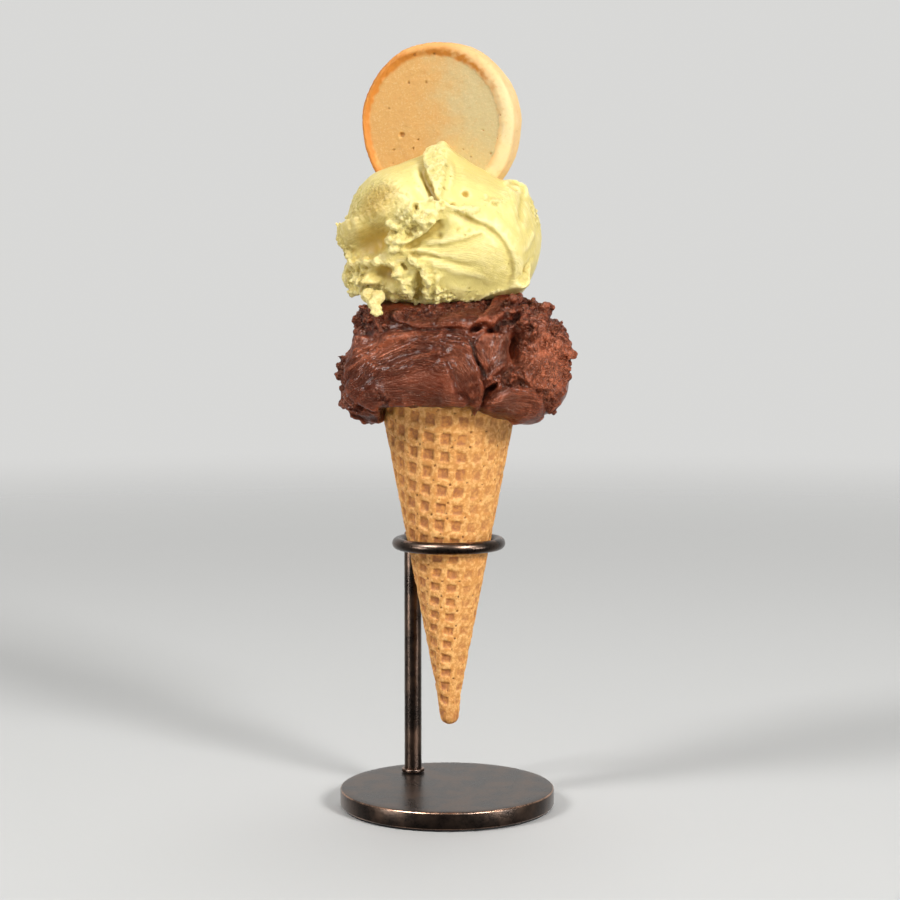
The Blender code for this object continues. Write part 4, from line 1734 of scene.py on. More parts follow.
def chocolate_scoop() -> Scoop:
    """The lower scoop: one long glossy smear and a torn lobe at its right."""
    smear_foot = (
        (-24.5, 177.5), (-30.5, 175.5), (-32.5, 171.5), (-33.5, 167), (-34, 161.5), (-34.5, 156),
        (-31.5, 153), (-28.5, 151), (-23.5, 151), (-18, 152.5), (-13, 152.5), (-8, 151.8),
        (-3, 152.2), (3, 153), (8, 154.5), (10.5, 158),
    )
    tongue = (
        (32, 172), (31, 168.5), (28.5, 166), (26, 164), (25.5, 161), (28, 158.8), (32, 157.5),
        (36, 158), (39.5, 160), (42, 163.5),
    )
    patch = (
        (23, 176.5), (18.5, 178), (14.5, 178), (11, 176), (10, 172.5), (11, 168), (12.5, 165),
        (14.5, 162),
    )
    leaf = (
        (20, 192), (16.5, 188.5), (13.5, 184.5), (13, 180), (15.5, 179.5), (18.5, 182), (22, 185),
        (26, 187.5), (28.5, 188.5), (28.5, 191.5),
    )
    lobe = (
        (7.5, 150.6), (12, 148), (16.5, 146), (21, 144.5), (26.5, 144), (31.5, 144.5), (34.5, 147),
        (35, 150), (33.5, 153.5), (31.5, 156.5), (28, 158.5), (24.5, 158.5), (20.5, 157.5),
        (17, 155.5), (13.5, 153), (10, 151.8),
    )
    torn_lumps = (
        (25, 180, 2.0, 1.5, 2.4, -35), (29, 178.8, 2.4, 1.5, 2.6, -50),
        (34, 180.4, 2.5, 1.7, 2.4, 20), (38.5, 179.6, 2.0, 2.3, 2.2, -20),
        (28.9, 174.4, 1.8, 1.6, 2.4, -30), (30.3, 170.6, 1.5, 1.9, 2.2, 10),
        (33.4, 175.4, 1.8, 1.4, 2.0, -60), (37.6, 174.6, 2.3, 1.6, 2.2, 30),
        (41.4, 175.6, 1.6, 2.0, 2.0, 0), (31, 186.2, 2.3, 1.6, 2.4, 40),
        (34.2, 184.2, 1.6, 1.9, 2.2, -20), (28, 188, 1.8, 1.3, 2.0, -20),
        (42.6, 169.8, 1.5, 2.1, 1.8, 15), (42, 164, 1.4, 1.8, 1.6, -20),
        (23.2, 162.4, 1.6, 1.0, 1.5, 30), (20.4, 160.4, 1.3, 1.0, 1.4, 50),
        (26.4, 161.2, 1.4, 1.0, 1.4, -10), (-31, 186, 1.7, 1.3, 1.8, 30),
        (-33.4, 182.2, 1.4, 1.7, 1.8, 0), (-28.4, 182.4, 1.9, 1.3, 1.8, -30),
        (-32.6, 178, 1.6, 1.2, 1.6, 40), (-24.6, 184.6, 1.5, 1.3, 1.6, 20),
        (-24, 180.2, 1.7, 1.1, 1.4, -10),
    )
    marks: tuple[PaddleMark, ...] = (
        # The long smear, its left flank and its top edge.
        Swell((-10, 162), (21, 11.5), 4.6),
        Layer(((-37, 180), (-33, 175.5), (-37, 170.5), (-41, 165.5), (-42, 161), (-41, 157)), 1.6,
              5, lip=0.6, ragged=0.7, crumble=0.4, lean=1.0),
        Layer(((-28, 178), (-31, 175.5), (-34.5, 170.5), (-38, 165), (-38.5, 161), (-37, 157)), 1.7,
              4.5, lip=0.6, ragged=0.6, crumble=0.3, lean=1.0),
        Layer(smear_foot, 2.8, 16, lip=1.0, ragged=0.6, crumble=0.3, lean=0.8),
        Layer(((-25.5, 175.5), (-27.5, 173.5), (-31.5, 169), (-35, 164), (-36, 159)), 1.3, 4.5,
              lip=0.5, ragged=0.5, crumble=0.25, lean=0.9),
        Swell((4.5, 154.5), (7, 5.5), 2.4),
        Layer(((9.5, 147.5), (11.6, 152), (12.6, 157.5), (11.5, 163), (9.5, 167.5), (8, 172.5),
              (5.5, 176), (2, 178)), 2.2, 11, lip=0.8, ragged=0.4, crumble=0.15, lean=0.6),
        Layer(((3, 178), (-3, 178.5), (-10.5, 178.5), (-18, 178), (-26, 177)), 1.4, 7, lip=1.8,
              ragged=0.7, crumble=0.3, lean=0.2),
        Layer(((-22, 187), (-19.5, 182), (-12, 179.8), (-3, 179.2), (4.5, 179.4), (9.5, 179)), 1.5,
              5, lip=0.8, ragged=0.6, crumble=0.3, lean=0.6),
        # Folds that the paddle left along the smear, and the seam at its right end.
        Ridge(((-30, 164), (-25, 168), (-18, 171), (-10.5, 173.5), (-3, 175.5)), 0.9, 0.6, 0.5),
        Ridge(((-32.5, 168), (-27, 171.5), (-19.5, 175), (-12, 176.5)), 1.0, 0.6, 0.5),
        Ridge(((-31.5, 170.5), (-24.5, 174), (-17, 177)), 0.9, 0.5, 0.5),
        Ridge(((-30.5, 166), (-22, 172), (-12, 175)), -0.8, 0.5, 0.4),
        Ridge(((-27.5, 161.5), (-22, 165.5), (-14.5, 168), (-5.5, 170), (0.5, 170.5)), 0.7, 0.7,
              0.4),
        Ridge(((-33, 163), (-29, 166.5), (-24, 170)), 0.8, 0.5, 0.4),
        Ridge(((5, 177.5), (8.5, 174.5), (10, 169.5), (11.5, 163), (12.5, 157)), 1.2, 0.6, 0.4),
        Ridge(((7, 178), (9.5, 174.5), (10.5, 170.5), (12, 165), (13, 159.5)), 1.1, 0.5, 0.3),
        Ridge(((6.2, 177), (9, 174), (10.3, 169.5), (11.8, 163)), -1.4, 0.5, 0.3),
        Ridge(((0, 175), (4.5, 171), (7, 166), (8.5, 160)), 0.6, 0.5, 0.4),
        Ridge(((-3, 173), (2.5, 169), (5, 164)), -0.5, 0.5, 0.4),
        Ridge(((3, 158), (7, 157), (9.5, 154.5)), -0.8, 0.5, 0.3),
        # The leaf and the small patch under the upper scoop.
        Swell((5.5, 182.5), (8, 4.0), 1.8, 8), Swell((12.2, 181.5), (2.0, 3.6), 3.2, -10),
        Layer(leaf, 2.0, 30, lip=1.3, ragged=0.5, crumble=0.25, closed=True),
        Ridge(((17.5, 184), (22, 187.5), (25, 190.5)), -1.2, 0.6, 0.3),
        Layer(patch, 1.2, 8, lip=1.0, ragged=0.4, crumble=0.15),
        Swell((24.5, 172), (3.0, 6.0), -3.0, -10),
        # The torn side at the right, with the lobe and the tongue below it.
        Layer(((20.5, 188), (23, 182.5), (25.5, 180), (28, 177), (30, 173.5), (29.5, 170),
              (26, 165.5), (22, 161.5), (18.5, 158.5)), 4.2, 16, ragged=1.4, crumble=0.9, lean=0.3),
        Ridge(((13, 160.5), (17, 163), (21, 167)), 1.3, 0.8, 0.3),
        Ridge(((13, 157), (17.5, 159.5), (20.5, 163)), 0.9, 0.6, 0.3),
        Layer(lobe, 1.8, 30, lip=1.6, ragged=0.4, crumble=0.1, lean=0.2, closed=True),
        Swell((25, 151.5), (9.5, 6.5), 2.6),
        Layer(tongue, 2.6, 8, lip=1.0, ragged=1.0, crumble=0.35),
        *(Swell((x, z), (w, h), tall, turn, 4.0, 3.6) for x, z, w, h, tall, turn in torn_lumps),
        # Dark holes between the layers.
        Pit((10.6, 179.4), 1.2, 4.5, 2.0, 15), Pit((15.8, 178.8), 0.9, 3.5, 1.8, -20),
        Pit((25.4, 174.5), 1.7, 6.0, 2.0, 80), Pit((25.2, 169.8), 1.8, 6.5, 1.8, 95),
        Pit((24.6, 182.6), 1.2, 4.0, 2.2, 40), Pit((15.2, 157.0), 1.3, 4.4, 2.6, 45),
        Pit((12.4, 153.6), 1.0, 3.0, 2.2, 80), Pit((-28.6, 150.0), 1.7, 8.0, 3.0, -4),
        Pit((-22.6, 149.6), 1.5, 7.0, 2.6, 0),
        # The curled lip at the lower left, and the underside behind the rim.
        Ridge(((-40, 157), (-40, 153), (-36, 149.5), (-30, 146.8), (-26.5, 146.5)), 2.2, 1.0, 0.7,
              0.5),
        Ridge(((-37.5, 157.5), (-37, 154), (-33, 150), (-28, 148), (-26, 147.8)), 1.9, 0.8, 0.5,
              0.3),
        Ridge(((-41, 153), (-39, 148.5), (-33, 145), (-28, 144)), 1.8, 1.0, 0.6, 0.5),
        Ridge(((-39, 156), (-38.6, 153), (-35, 149.2), (-29, 146.6)), -1.8, 0.6, 0.4),
        Ridge(((-40, 151.5), (-37, 148.2), (-32, 145.8)), -1.6, 0.5, 0.4),
        Tuck((-23.5, 8.5), 151.3, 21.0), Curds((-22, 155), (2.4, 1.3), 0.7, 1.5),
        # Crumbly places.
        Curds((-31, 183), (5, 5), 1.6, 3.2), Curds((-25, 181), (4, 3), 1.1, 2.4),
        Curds((-40, 163), (3, 7), 1.2, 2.6), Curds((-12, 185), (14, 2.2), 1.0, 1.9),
        Curds((5, 188), (12, 2.2), 0.9, 2.0), Swell((19, 190), (13, 4), 2.4),
        Curds((20.5, 181), (3.0, 2.4), 1.4, 2.2), Curds((31.5, 185), (7, 6), 2.0, 3.8),
        Curds((38, 177), (6, 6), 2.2, 3.8), Curds((37, 171.5), (4.5, 2.6), 1.3, 2.2),
        Curds((29.5, 174.5), (3.4, 6), 1.6, 3.0), Curds((42, 166), (3.2, 9), 1.5, 2.8),
        Curds((38.5, 153), (5, 6), 1.5, 2.8), Curds((22.5, 161), (4.6, 3), 1.3, 2.2),
        Curds((34, 157), (6, 2.4), 1.0, 2.0), Curds((35, 163), (8, 5.5), 0.32, 1.7),
        # The back.
        Layer(((-40, 168), (-24, 176), (-4, 170), (14, 176), (36, 166)), -3.6, 15, ragged=1.2,
              crumble=0.8, side=Side.BACK),
        Layer(((-36, 156), (-14, 163), (8, 157), (34, 162)), -3.0, 12, ragged=0.9, crumble=0.5,
              side=Side.BACK),
        Layer(((38, 184), (43.5, 178), (41, 171), (44, 164), (40, 155), (38, 149)), 2.0, 9, lip=1.0,
              ragged=1.0, crumble=0.6, side=Side.BACK),
        Layer(((-32, 182), (-37, 176), (-35, 169), (-39, 162), (-37, 154)), -2.0, 9, lip=1.0,
              ragged=1.0, crumble=0.6, side=Side.BACK),
        Curds((-28, 160), (10, 7), 1.4, 3.0, side=Side.BACK),
        Curds((22, 182), (14, 5), 1.5, 3.2, side=Side.BACK),
        Curds((38, 160), (7, 12), 1.5, 3.0, side=Side.BACK),
    )
    sweeps = (
        Sweep(((-36, 158), (-24, 168), (-8, 173), (6, 170), (13, 158)), 10, 0.40, 1.9, 16),
        Sweep(((-32, 163), (-22, 171), (-8, 175.5), (4, 175)), 5, 0.40, 1.5, 8),
        Sweep(((-34, 156), (-10, 157), (12, 152)), 8, 0.08, 2.4, 24),
        Sweep(((12, 152), (24, 154), (38, 150)), 9, 0.13, 2.0, 14),
        Sweep(((-22, 181), (0, 183), (16, 186)), 5, 0.2, 1.7, 12),
        Sweep(((-41, 154), (-36, 149), (-24, 146)), 7, 0.28, 1.6, 12),
        Sweep(((26, 165), (34, 166), (41, 162)), 5, 0.12, 1.6, 8),
        Sweep(((13, 159), (18, 168), (20, 177)), 6, 0.16, 1.8, 12),
        Sweep(((-34, 160), (0, 168), (34, 158)), 13, 0.3, 1.9, 18, Side.BACK),
        Sweep(((44, 182), (45, 168), (42, 152)), 9, 0.3, 1.8, 16, Side.BACK),
        Sweep(((-38, 180), (-40, 166), (-40, 154)), 8, 0.3, 1.8, 16, Side.BACK),
        Sweep(((-30, 178), (0, 180), (30, 176)), 9, 0.25, 1.9, 18, Side.BACK),
    )
    pores = (
        Pores((-12, 160), (26, 12), 0.30, 3.2, 0.35, 0.4),
        Pores((16, 171), (5, 9), 0.42, 1.9, 0.5, 0.5),
        Pores((35, 166), (7, 6), 0.42, 1.8, 0.55, 0.5),
        Pores((24, 152), (14, 6), 0.32, 2.6, 0.4, 0.4),
        Pores((0, 165), (40, 20), 0.4, 3.0, 0.4, 0.5, Side.BACK),
    )
    return Scoop(
        name="chocolate_gelato_scoop",
        node="chocolate_scoop",
        slot="chocolate",
        form=ScoopForm(
            (2.0, 3.0, 166.0), 36.5, (2.9, 3.2),
            ((0, 43.6), (20, 42.2), (33, 39), (60, 28), (90, 25), (120, 28), (147, 40.6),
             (165, 37.5), (180, 39.5), (200, 44.5), (212, 41), (224, 31), (236, 21), (250, 17.5),
             (275, 17), (292, 17.8), (306, 23), (319, 31), (333, 43.5), (346, 44.5)),
        ),
        finish=CHOCOLATE_FINISH,
        marks=marks,
        sweeps=sweeps,
        pores=pores,
        crumbs=(
            Crumbs(((-32, 187), (-34.5, 182), (-33, 176)), 24, (0.8, 1.8), 3.0, 0.35, 11, True),
            Crumbs(((-28, 181.5), (-23, 180)), 10, (0.7, 1.3), 2.0, 0.3, 19, True),
            Crumbs(((-38, 170), (-41, 163), (-40, 158)), 16, (0.7, 1.5), 2.0, 0.3, 12, True),
            Crumbs(((-41, 156), (-39, 149), (-34, 145)), 14, (0.6, 1.3), 2.4, 0.2, 13, True),
            Crumbs(((28, 188.5), (32, 189.5), (35.5, 187), (33, 183.5)), 20, (1.1, 2.2), 2.4, 0.4,
                  14, True),
            Crumbs(((31.5, 181.5), (36, 180.5), (39.5, 180), (42, 175.5), (43, 170), (35, 175)), 30,
                  (1.4, 2.8), 3.0, 0.0, 18, True),
            Crumbs(((42, 166.5), (44, 162.5), (43, 157.5), (40.5, 154), (37.5, 148.5)), 38,
                  (0.8, 1.6), 2.8, 0.0, 15, True),
            Crumbs(((21, 187), (23, 182), (26, 179.5), (28.5, 176.5), (30, 172.5), (28.5, 168.5)),
                  26, (0.9, 1.9), 1.9, 0.9, 16, True),
            Crumbs(((26, 164), (22, 161), (18.5, 158.5)), 16, (0.6, 1.2), 1.8, 0.5, 17, True),
            Crumbs(((-14, 187), (-2, 188.5), (8, 190)), 22, (0.5, 1.0), 1.6, 0.3, 20),
        ),
        # Lighter patches: painted highlight and sheen on the smear, the small patch and the strip,
        # and partly painted light, partly a lighter orange tone on the torn side and lobes at the
        # right.
        tint_and_light_patches=(
            Swell((36, 166), (12, 15), 1.1), Swell((24, 152), (12, 8), 0.45),
            Swell((-22, 172), (14, 6), 0.7, 22), Swell((-28, 165), (7, 6), 0.35),
            Swell((3, 168), (5, 10), 0.5, 25), Swell((16, 171), (5, 7), 0.55),
            Swell((32, 182), (8, 8), 0.45), Swell((-38, 160), (6, 14), 0.4),
            Swell((24, 162), (6, 4), 0.5), Swell((2, 184), (7, 4), 0.3),
        ),
        sink=1.6,
        voxel=0.62,
        seed=3,
        smoothing=1,
    )


def pistachio_scoop() -> Scoop:
    """The upper scoop: a peak pinched round the biscuit and broad folded flaps below."""
    marks: tuple[PaddleMark, ...] = (
        # The broad folds.
        Swell((9, 204), (15, 11), 2.6, 10), Swell((-20, 231), (11, 9), 1.6),
        Swell((27, 214), (8, 16), 1.2), Swell((10, 190.5), (15, 3.5), 1.8),
        # The peak pinched up in front of the biscuit.
        Layer(((-5.5, 245), (-8, 239.5), (-7.5, 235.5), (-5.2, 230.5), (-3.6, 226), (-2.5, 221.5)),
              2.6, 8, lip=0.7, ragged=0.5, crumble=0.15, lean=0.5, taper=0.8),
        Swell((-1.5, 247.5), (2.8, 3.6), 1.3), Swell((-7, 244), (3, 3), -1.0),
        Swell((4, 245.5), (3.4, 3), -0.7), Curds((-3.4, 236.5), (3.4, 8), 0.6, 1.4, -8),
        Ridge(((-10, 237), (-9, 233.5), (-6.5, 229), (-4.5, 225), (-2.8, 221.5)), -2.2, 1.1, 0.2),
        Ridge(((1, 240), (0.2, 234), (-1, 228.5), (-2, 222.5)), -0.9, 1.2, 0.3),
        Ridge(((-2.6, 231), (-2, 226.5), (-2.5, 222)), 0.8, 0.4, 0.1),
        Ridge(((2.5, 241), (4.5, 235.5), (4, 230), (2, 226)), -0.7, 1.8, 0.3),
        Ridge(((-11.5, 229.5), (-8, 226), (-4.5, 222.5)), 0.5, 0.5, 0.2),
        # The flap at the left and the hollow under it.
        Layer(((-40.5, 212), (-36.5, 215), (-32, 217), (-27.5, 218.5), (-23.5, 220), (-20.5, 223.4),
              (-18.3, 225), (-16.5, 224), (-15, 222.5), (-12.5, 221), (-9.5, 220.5), (-6, 221),
              (-2, 221.5)), -4.0, 6, lip=0.8, ragged=0.4, crumble=0.25, lean=0.9, free_ends=True),
        Swell((-28.5, 210.0), (9.0, 5.8), -5.6, 30, 3.2),
        Ridge(((-36.5, 215.6), (-32, 217.8), (-27.5, 219.2), (-23.5, 221), (-20, 224)), 1.3, 0.55,
              0.25, 0.1),
        Ridge(((-38, 214), (-38.4, 208), (-35, 203.5)), 1.6, 0.9, 0.5, 0.4),
        Ridge(((-31, 215), (-28.5, 209), (-26.5, 205)), 0.5, 0.6, 0.3),
        Swell((-12, 218), (8, 3), 1.8, -4), Swell((-17, 211), (4.5, 5.5), 2.0),
        # The scooped fold in the middle and the smooth front at the right.
        Ridge(((-0.5, 218.2), (-3.5, 214), (-7, 210.8), (-12, 208.2), (-16.5, 206)), -1.9, 2.6,
              0.3),
        Layer(((-17.5, 207), (-9, 211.5), (-5.6, 214.8), (-3.4, 217.8), (-0.8, 219.8)), 2.0, 3.5,
              lip=1.0, ragged=0.5, crumble=0.4, lean=0.7),
        Ridge(((-2.5, 219), (1, 220.8), (6, 221), (11, 220.3)), 1.0, 1.1, 0.6, 0.5),
        Layer(((-1, 219), (2.5, 220.2), (6, 219.3), (10.5, 217), (15, 215), (18.5, 212),
              (20.5, 208.5), (23, 204.5), (23.8, 200), (23, 196), (21, 193)), 1.6, 5, lip=0.9,
              ragged=0.35, crumble=0.1, lean=0.5),
        Ridge(((24.8, 204), (25.4, 199), (27, 194)), 0.9, 0.9, 0.3),
        Swell((24.4, 194), (3.2, 3.0), 2.0),
        Layer(((-10.5, 207.5), (-2.5, 208.7), (6, 209.8), (14.5, 213.3)), 1.2, 5, lip=0.9,
              ragged=0.5, crumble=0.15, lean=0.3, taper=0.5),
        Ridge(((-17.5, 206), (-11.5, 206.6), (-5.5, 206), (-0.5, 203.5)), 1.0, 0.5, 0.3),
        Ridge(((-17, 204.6), (-11, 204.7), (-4, 204.1), (3, 202), (12, 200.5)), -1.1, 0.8, 0.3),
        Ridge(((-8, 203), (2, 199.5), (14, 197)), 0.5, 1.2, 0.3),
        # The ragged lower left.
        Ridge(((-38, 201), (-32.5, 203), (-29, 202), (-25.5, 203), (-21, 201.5), (-18.5, 198),
              (-15.5, 193.5), (-13.5, 189)), 2.2, 1.4, 0.7, 0.9),
        Swell((-23, 197.3), (4.8, 4.4), -4.2, 0, 3.0),
        Ridge(((-13, 203.5), (-8.5, 200), (-6, 195.5), (-8.5, 188)), 1.8, 1.3, 0.8, 0.8),
        Ridge(((-4, 200.5), (-3.5, 196), (-3.5, 188.5)), 1.0, 0.8, 0.6, 0.4),
        Ridge(((-10.5, 199), (-9.5, 193), (-12, 188)), -1.8, 1.0, 0.5),
        Pit((-25.5, 204.9), 1.2, 3.5, 3.0, 8), Pit((-15.6, 215), 1.0, 3.0, 2.0, 20),
        Pit((-20.6, 213), 1.0, 3.0, 2.0, 70), Pit((-13.6, 211.5), 0.9, 2.6, 1.8, 30),
        Pit((-15.4, 200.2), 0.9, 2.4, 2.2, -60), Pit((-30.4, 200.2), 0.8, 2.0, 1.6, 20),
        Curds((-12.5, 216), (6.5, 4.0), 1.5, 2.7), Curds((-19, 209.5), (3.8, 4.4), 1.7, 2.7),
        Curds((-38.5, 207), (1.2, 6), 0.7, 1.7), Curds((-34, 196), (6, 6), 1.9, 3.4),
        Curds((-26, 190.5), (7, 3), 1.5, 2.8), Curds((-13, 191), (6, 4), 1.3, 2.6),
        Curds((-3, 190), (6, 3), 0.9, 2.2), Curds((16, 225), (5, 1.4), 0.6, 1.8),
        Layer(((21, 230.5), (23.5, 233), (27, 233.4), (29, 230), (28.4, 226.5)), 1.6, 2.6, lip=0.7,
              ragged=0.4, crumble=0.3, lean=0.4),
        Pit((24.8, 230.2), 1.3, 3.0, 1.4, -20),
        Ridge(((28.4, 228), (27, 222.5), (26, 216.5)), -1.3, 1.3, 0.3),
        Ridge(((26, 205), (29, 208.5), (31.5, 214.5)), 0.7, 1.4, 0.3), Pit((7, 227), 1.15, 1.8),
        Pit((2, 222.6), 0.8, 1.3, 1.3), Pit((17.5, 223.4), 0.8, 1.3, 1.5),
        Pit((-2.6, 211.6), 0.75, 1.2, 1.6, 20), Pit((3.6, 213), 0.6, 1.0, 1.5, 30),
        Pit((7.6, 213.4), 0.6, 1.0, 1.5, 10), Pit((6, 211.8), 0.5, 0.9, 1.2),
        Curds((34.5, 222), (2.4, 9), 0.7, 2.4), Curds((-34, 226), (3, 7), 0.5, 2.2),
        Curds((-24, 226), (8, 6), 0.2, 1.3),
        # The back.
        Layer(((34, 222), (16, 230), (-4, 223), (-22, 228), (-36, 218)), -3.4, 14, ragged=0.8,
              crumble=0.5, side=Side.BACK),
        Layer(((-34, 204), (-12, 211), (8, 203), (30, 208)), -2.8, 12, ragged=0.7, crumble=0.4,
              side=Side.BACK),
        Curds((24, 200), (10, 6), 1.2, 2.8, side=Side.BACK),
        Curds((-24, 197), (12, 5), 1.4, 2.8, side=Side.BACK),
        Curds((0, 190), (26, 3), 1.1, 2.6, side=Side.BACK),
    )
    sweeps = (
        Sweep(((-18, 205), (-6, 205), (8, 205), (22, 200)), 10, 0.15, 2.0, 18),
        Sweep(((-38, 208), (-28, 214), (-18, 218)), 6, 0.12, 1.6, 16),
        Sweep(((-34, 222), (-20, 234), (-6, 240)), 9, 0.08, 2.0, 20),
        Sweep(((2, 236), (14, 232), (24, 226)), 9, 0.10, 2.0, 16),
        Sweep(((26, 226), (30, 212), (28, 196)), 9, 0.14, 1.8, 18),
        Sweep(((-34, 216), (0, 222), (32, 214)), 12, 0.14, 1.8, 20, Side.BACK),
        Sweep(((-30, 200), (0, 204), (30, 198)), 9, 0.14, 1.8, 20, Side.BACK),
    )
    pores = (
        Pores((-2.5, 233.5), (4.2, 6.5), 0.5, 1.7, 0.55, 0.8),
        Pores((-14, 231), (6, 5), 0.38, 1.7, 0.55, 0.6),
        Pores((-24, 224), (10, 8), 0.34, 1.3, 0.75, 0.5),
        Pores((0, 213), (34, 26), 0.24, 2.2, 0.3, 0.35),
        Pores((3, 192), (9, 2.6), 0.42, 1.5, 0.6, 0.8),
        Pores((17.5, 201), (5, 3), 0.3, 1.5, 0.5, 0.5),
        Pores((5, 212), (9, 3), 0.35, 2.0, 0.4, 0.6),
        Pores((13, 221.5), (9, 3), 0.35, 1.7, 0.5, 0.6),
        Pores((0, 212), (34, 24), 0.35, 3.2, 0.4, 0.5, Side.BACK),
    )
    return Scoop(
        name="pistachio_gelato_scoop",
        node="pistachio_scoop",
        slot="pistachio",
        form=ScoopForm(
            (-1.5, 3.0, 214.0), 34.0, (2.2, 3.0),
            ((4, 37), (20, 35.5), (31, 35.5), (40, 29.5), (65, 28), (79, 30.5), (92, 34.5),
             (104, 30), (125, 30.5), (142, 35), (160, 36.5), (184, 37), (197, 36), (205, 41),
             (216, 39.5), (230, 35), (245, 31), (280, 29), (300, 30), (322, 38), (340, 37.5)),
        ),
        finish=PISTACHIO_FINISH,
        marks=marks,
        sweeps=sweeps,
        pores=pores,
        dabs=(
            Dab(((-28, -25, 190.6, 2.9), (-24.6, -26.4, 190.0, 2.8), (-26, -27.2, 187.8, 2.6),
                  (-25, -28.4, 185.8, 2.0))),
            Dab(((-23.4, -29.4, 184.3, 1.1), (-26.4, -29, 184.5, 1.0), (-24.8, -29.4, 183.7, 1.0))),
        ),
        crumbs=(
            Crumbs(((-39, 213), (-38.5, 207), (-35, 203)), 18, (0.6, 1.1), 1.2, 0.0, 21),
            Crumbs(((-38.5, 199), (-36.5, 194.5), (-31, 191)), 26, (1.0, 2.1), 2.2, 0.3, 22),
            Crumbs(((-38, 201.5), (-32, 203), (-25, 203)), 16, (0.9, 1.7), 1.2, 0.1, 31),
            Crumbs(((-1.5, 219.6), (-6, 215.4), (-10, 212.8), (-15, 210.4)), 18, (0.6, 1.2), 0.8,
                  0.2, 35),
            Crumbs(((-22, 189), (-15.5, 188.2), (-8.5, 187.6), (-2.5, 188.4)), 34, (0.6, 1.4), 1.2,
                  0.3, 23),
            Crumbs(((3, 189.3), (8, 190), (13.5, 191.4), (19.5, 193.4)), 22, (0.45, 0.9), 0.9, 0.2,
                  24),
            Crumbs(((-18.5, 225), (-14, 222), (-9, 220.8), (-3, 221.4)), 22, (0.6, 1.2), 1.0, 0.3,
                  25),
            Crumbs(((-20, 216.5), (-15.5, 214.5), (-10.5, 216), (-7.5, 217.5)), 18, (0.9, 1.8), 1.6,
                  0.25, 27),
            Crumbs(((-23, 209), (-20, 211.5), (-16.5, 209.5), (-18.5, 207)), 18, (1.0, 1.9), 1.4,
                  0.3, 26),
            Crumbs(((-19, 201), (-15.5, 195), (-12.5, 190)), 22, (0.8, 1.6), 1.4, 0.25, 28),
            Crumbs(((-12.5, 203), (-8.5, 200), (-6.5, 195), (-8, 190)), 18, (0.7, 1.3), 1.2, 0.25,
                  32),
            Crumbs(((-33, 216.5), (-27.5, 218.6), (-22, 221.5)), 12, (0.4, 0.8), 0.6, 0.3, 33),
            Crumbs(((14, 226), (18, 225)), 8, (0.4, 0.8), 1.2, 0.2, 34),
        ),
        # Darker tan patches: painted shade on the flap's face, in the hollows and pits and down the
        # left side, partly a darker tan tone of the gelato.
        tint_and_light_patches=(
            Swell((-25, 223.5), (11, 8.5), 0.8, 20, 3.0), Swell((-32, 212), (15, 26), 0.5),
            Swell((-26, 196), (14, 10), 0.48), Swell((6, 212), (10, 4.5), 0.38),
            Swell((7, 227), (1.5, 1.5), 1.2), Swell((-20, 207), (10, 12), 0.3),
            Swell((-28.5, 210), (10, 7), 0.85, 30, 4.0), Swell((-23, 197), (5, 5), 0.7, steep=3.0),
            Swell((16.5, 225), (5, 1.6), 0.5),
        ),
        sink=1.2,
        voxel=0.54,
        seed=5,
        ripple=0.22,
    )


# Shortbread


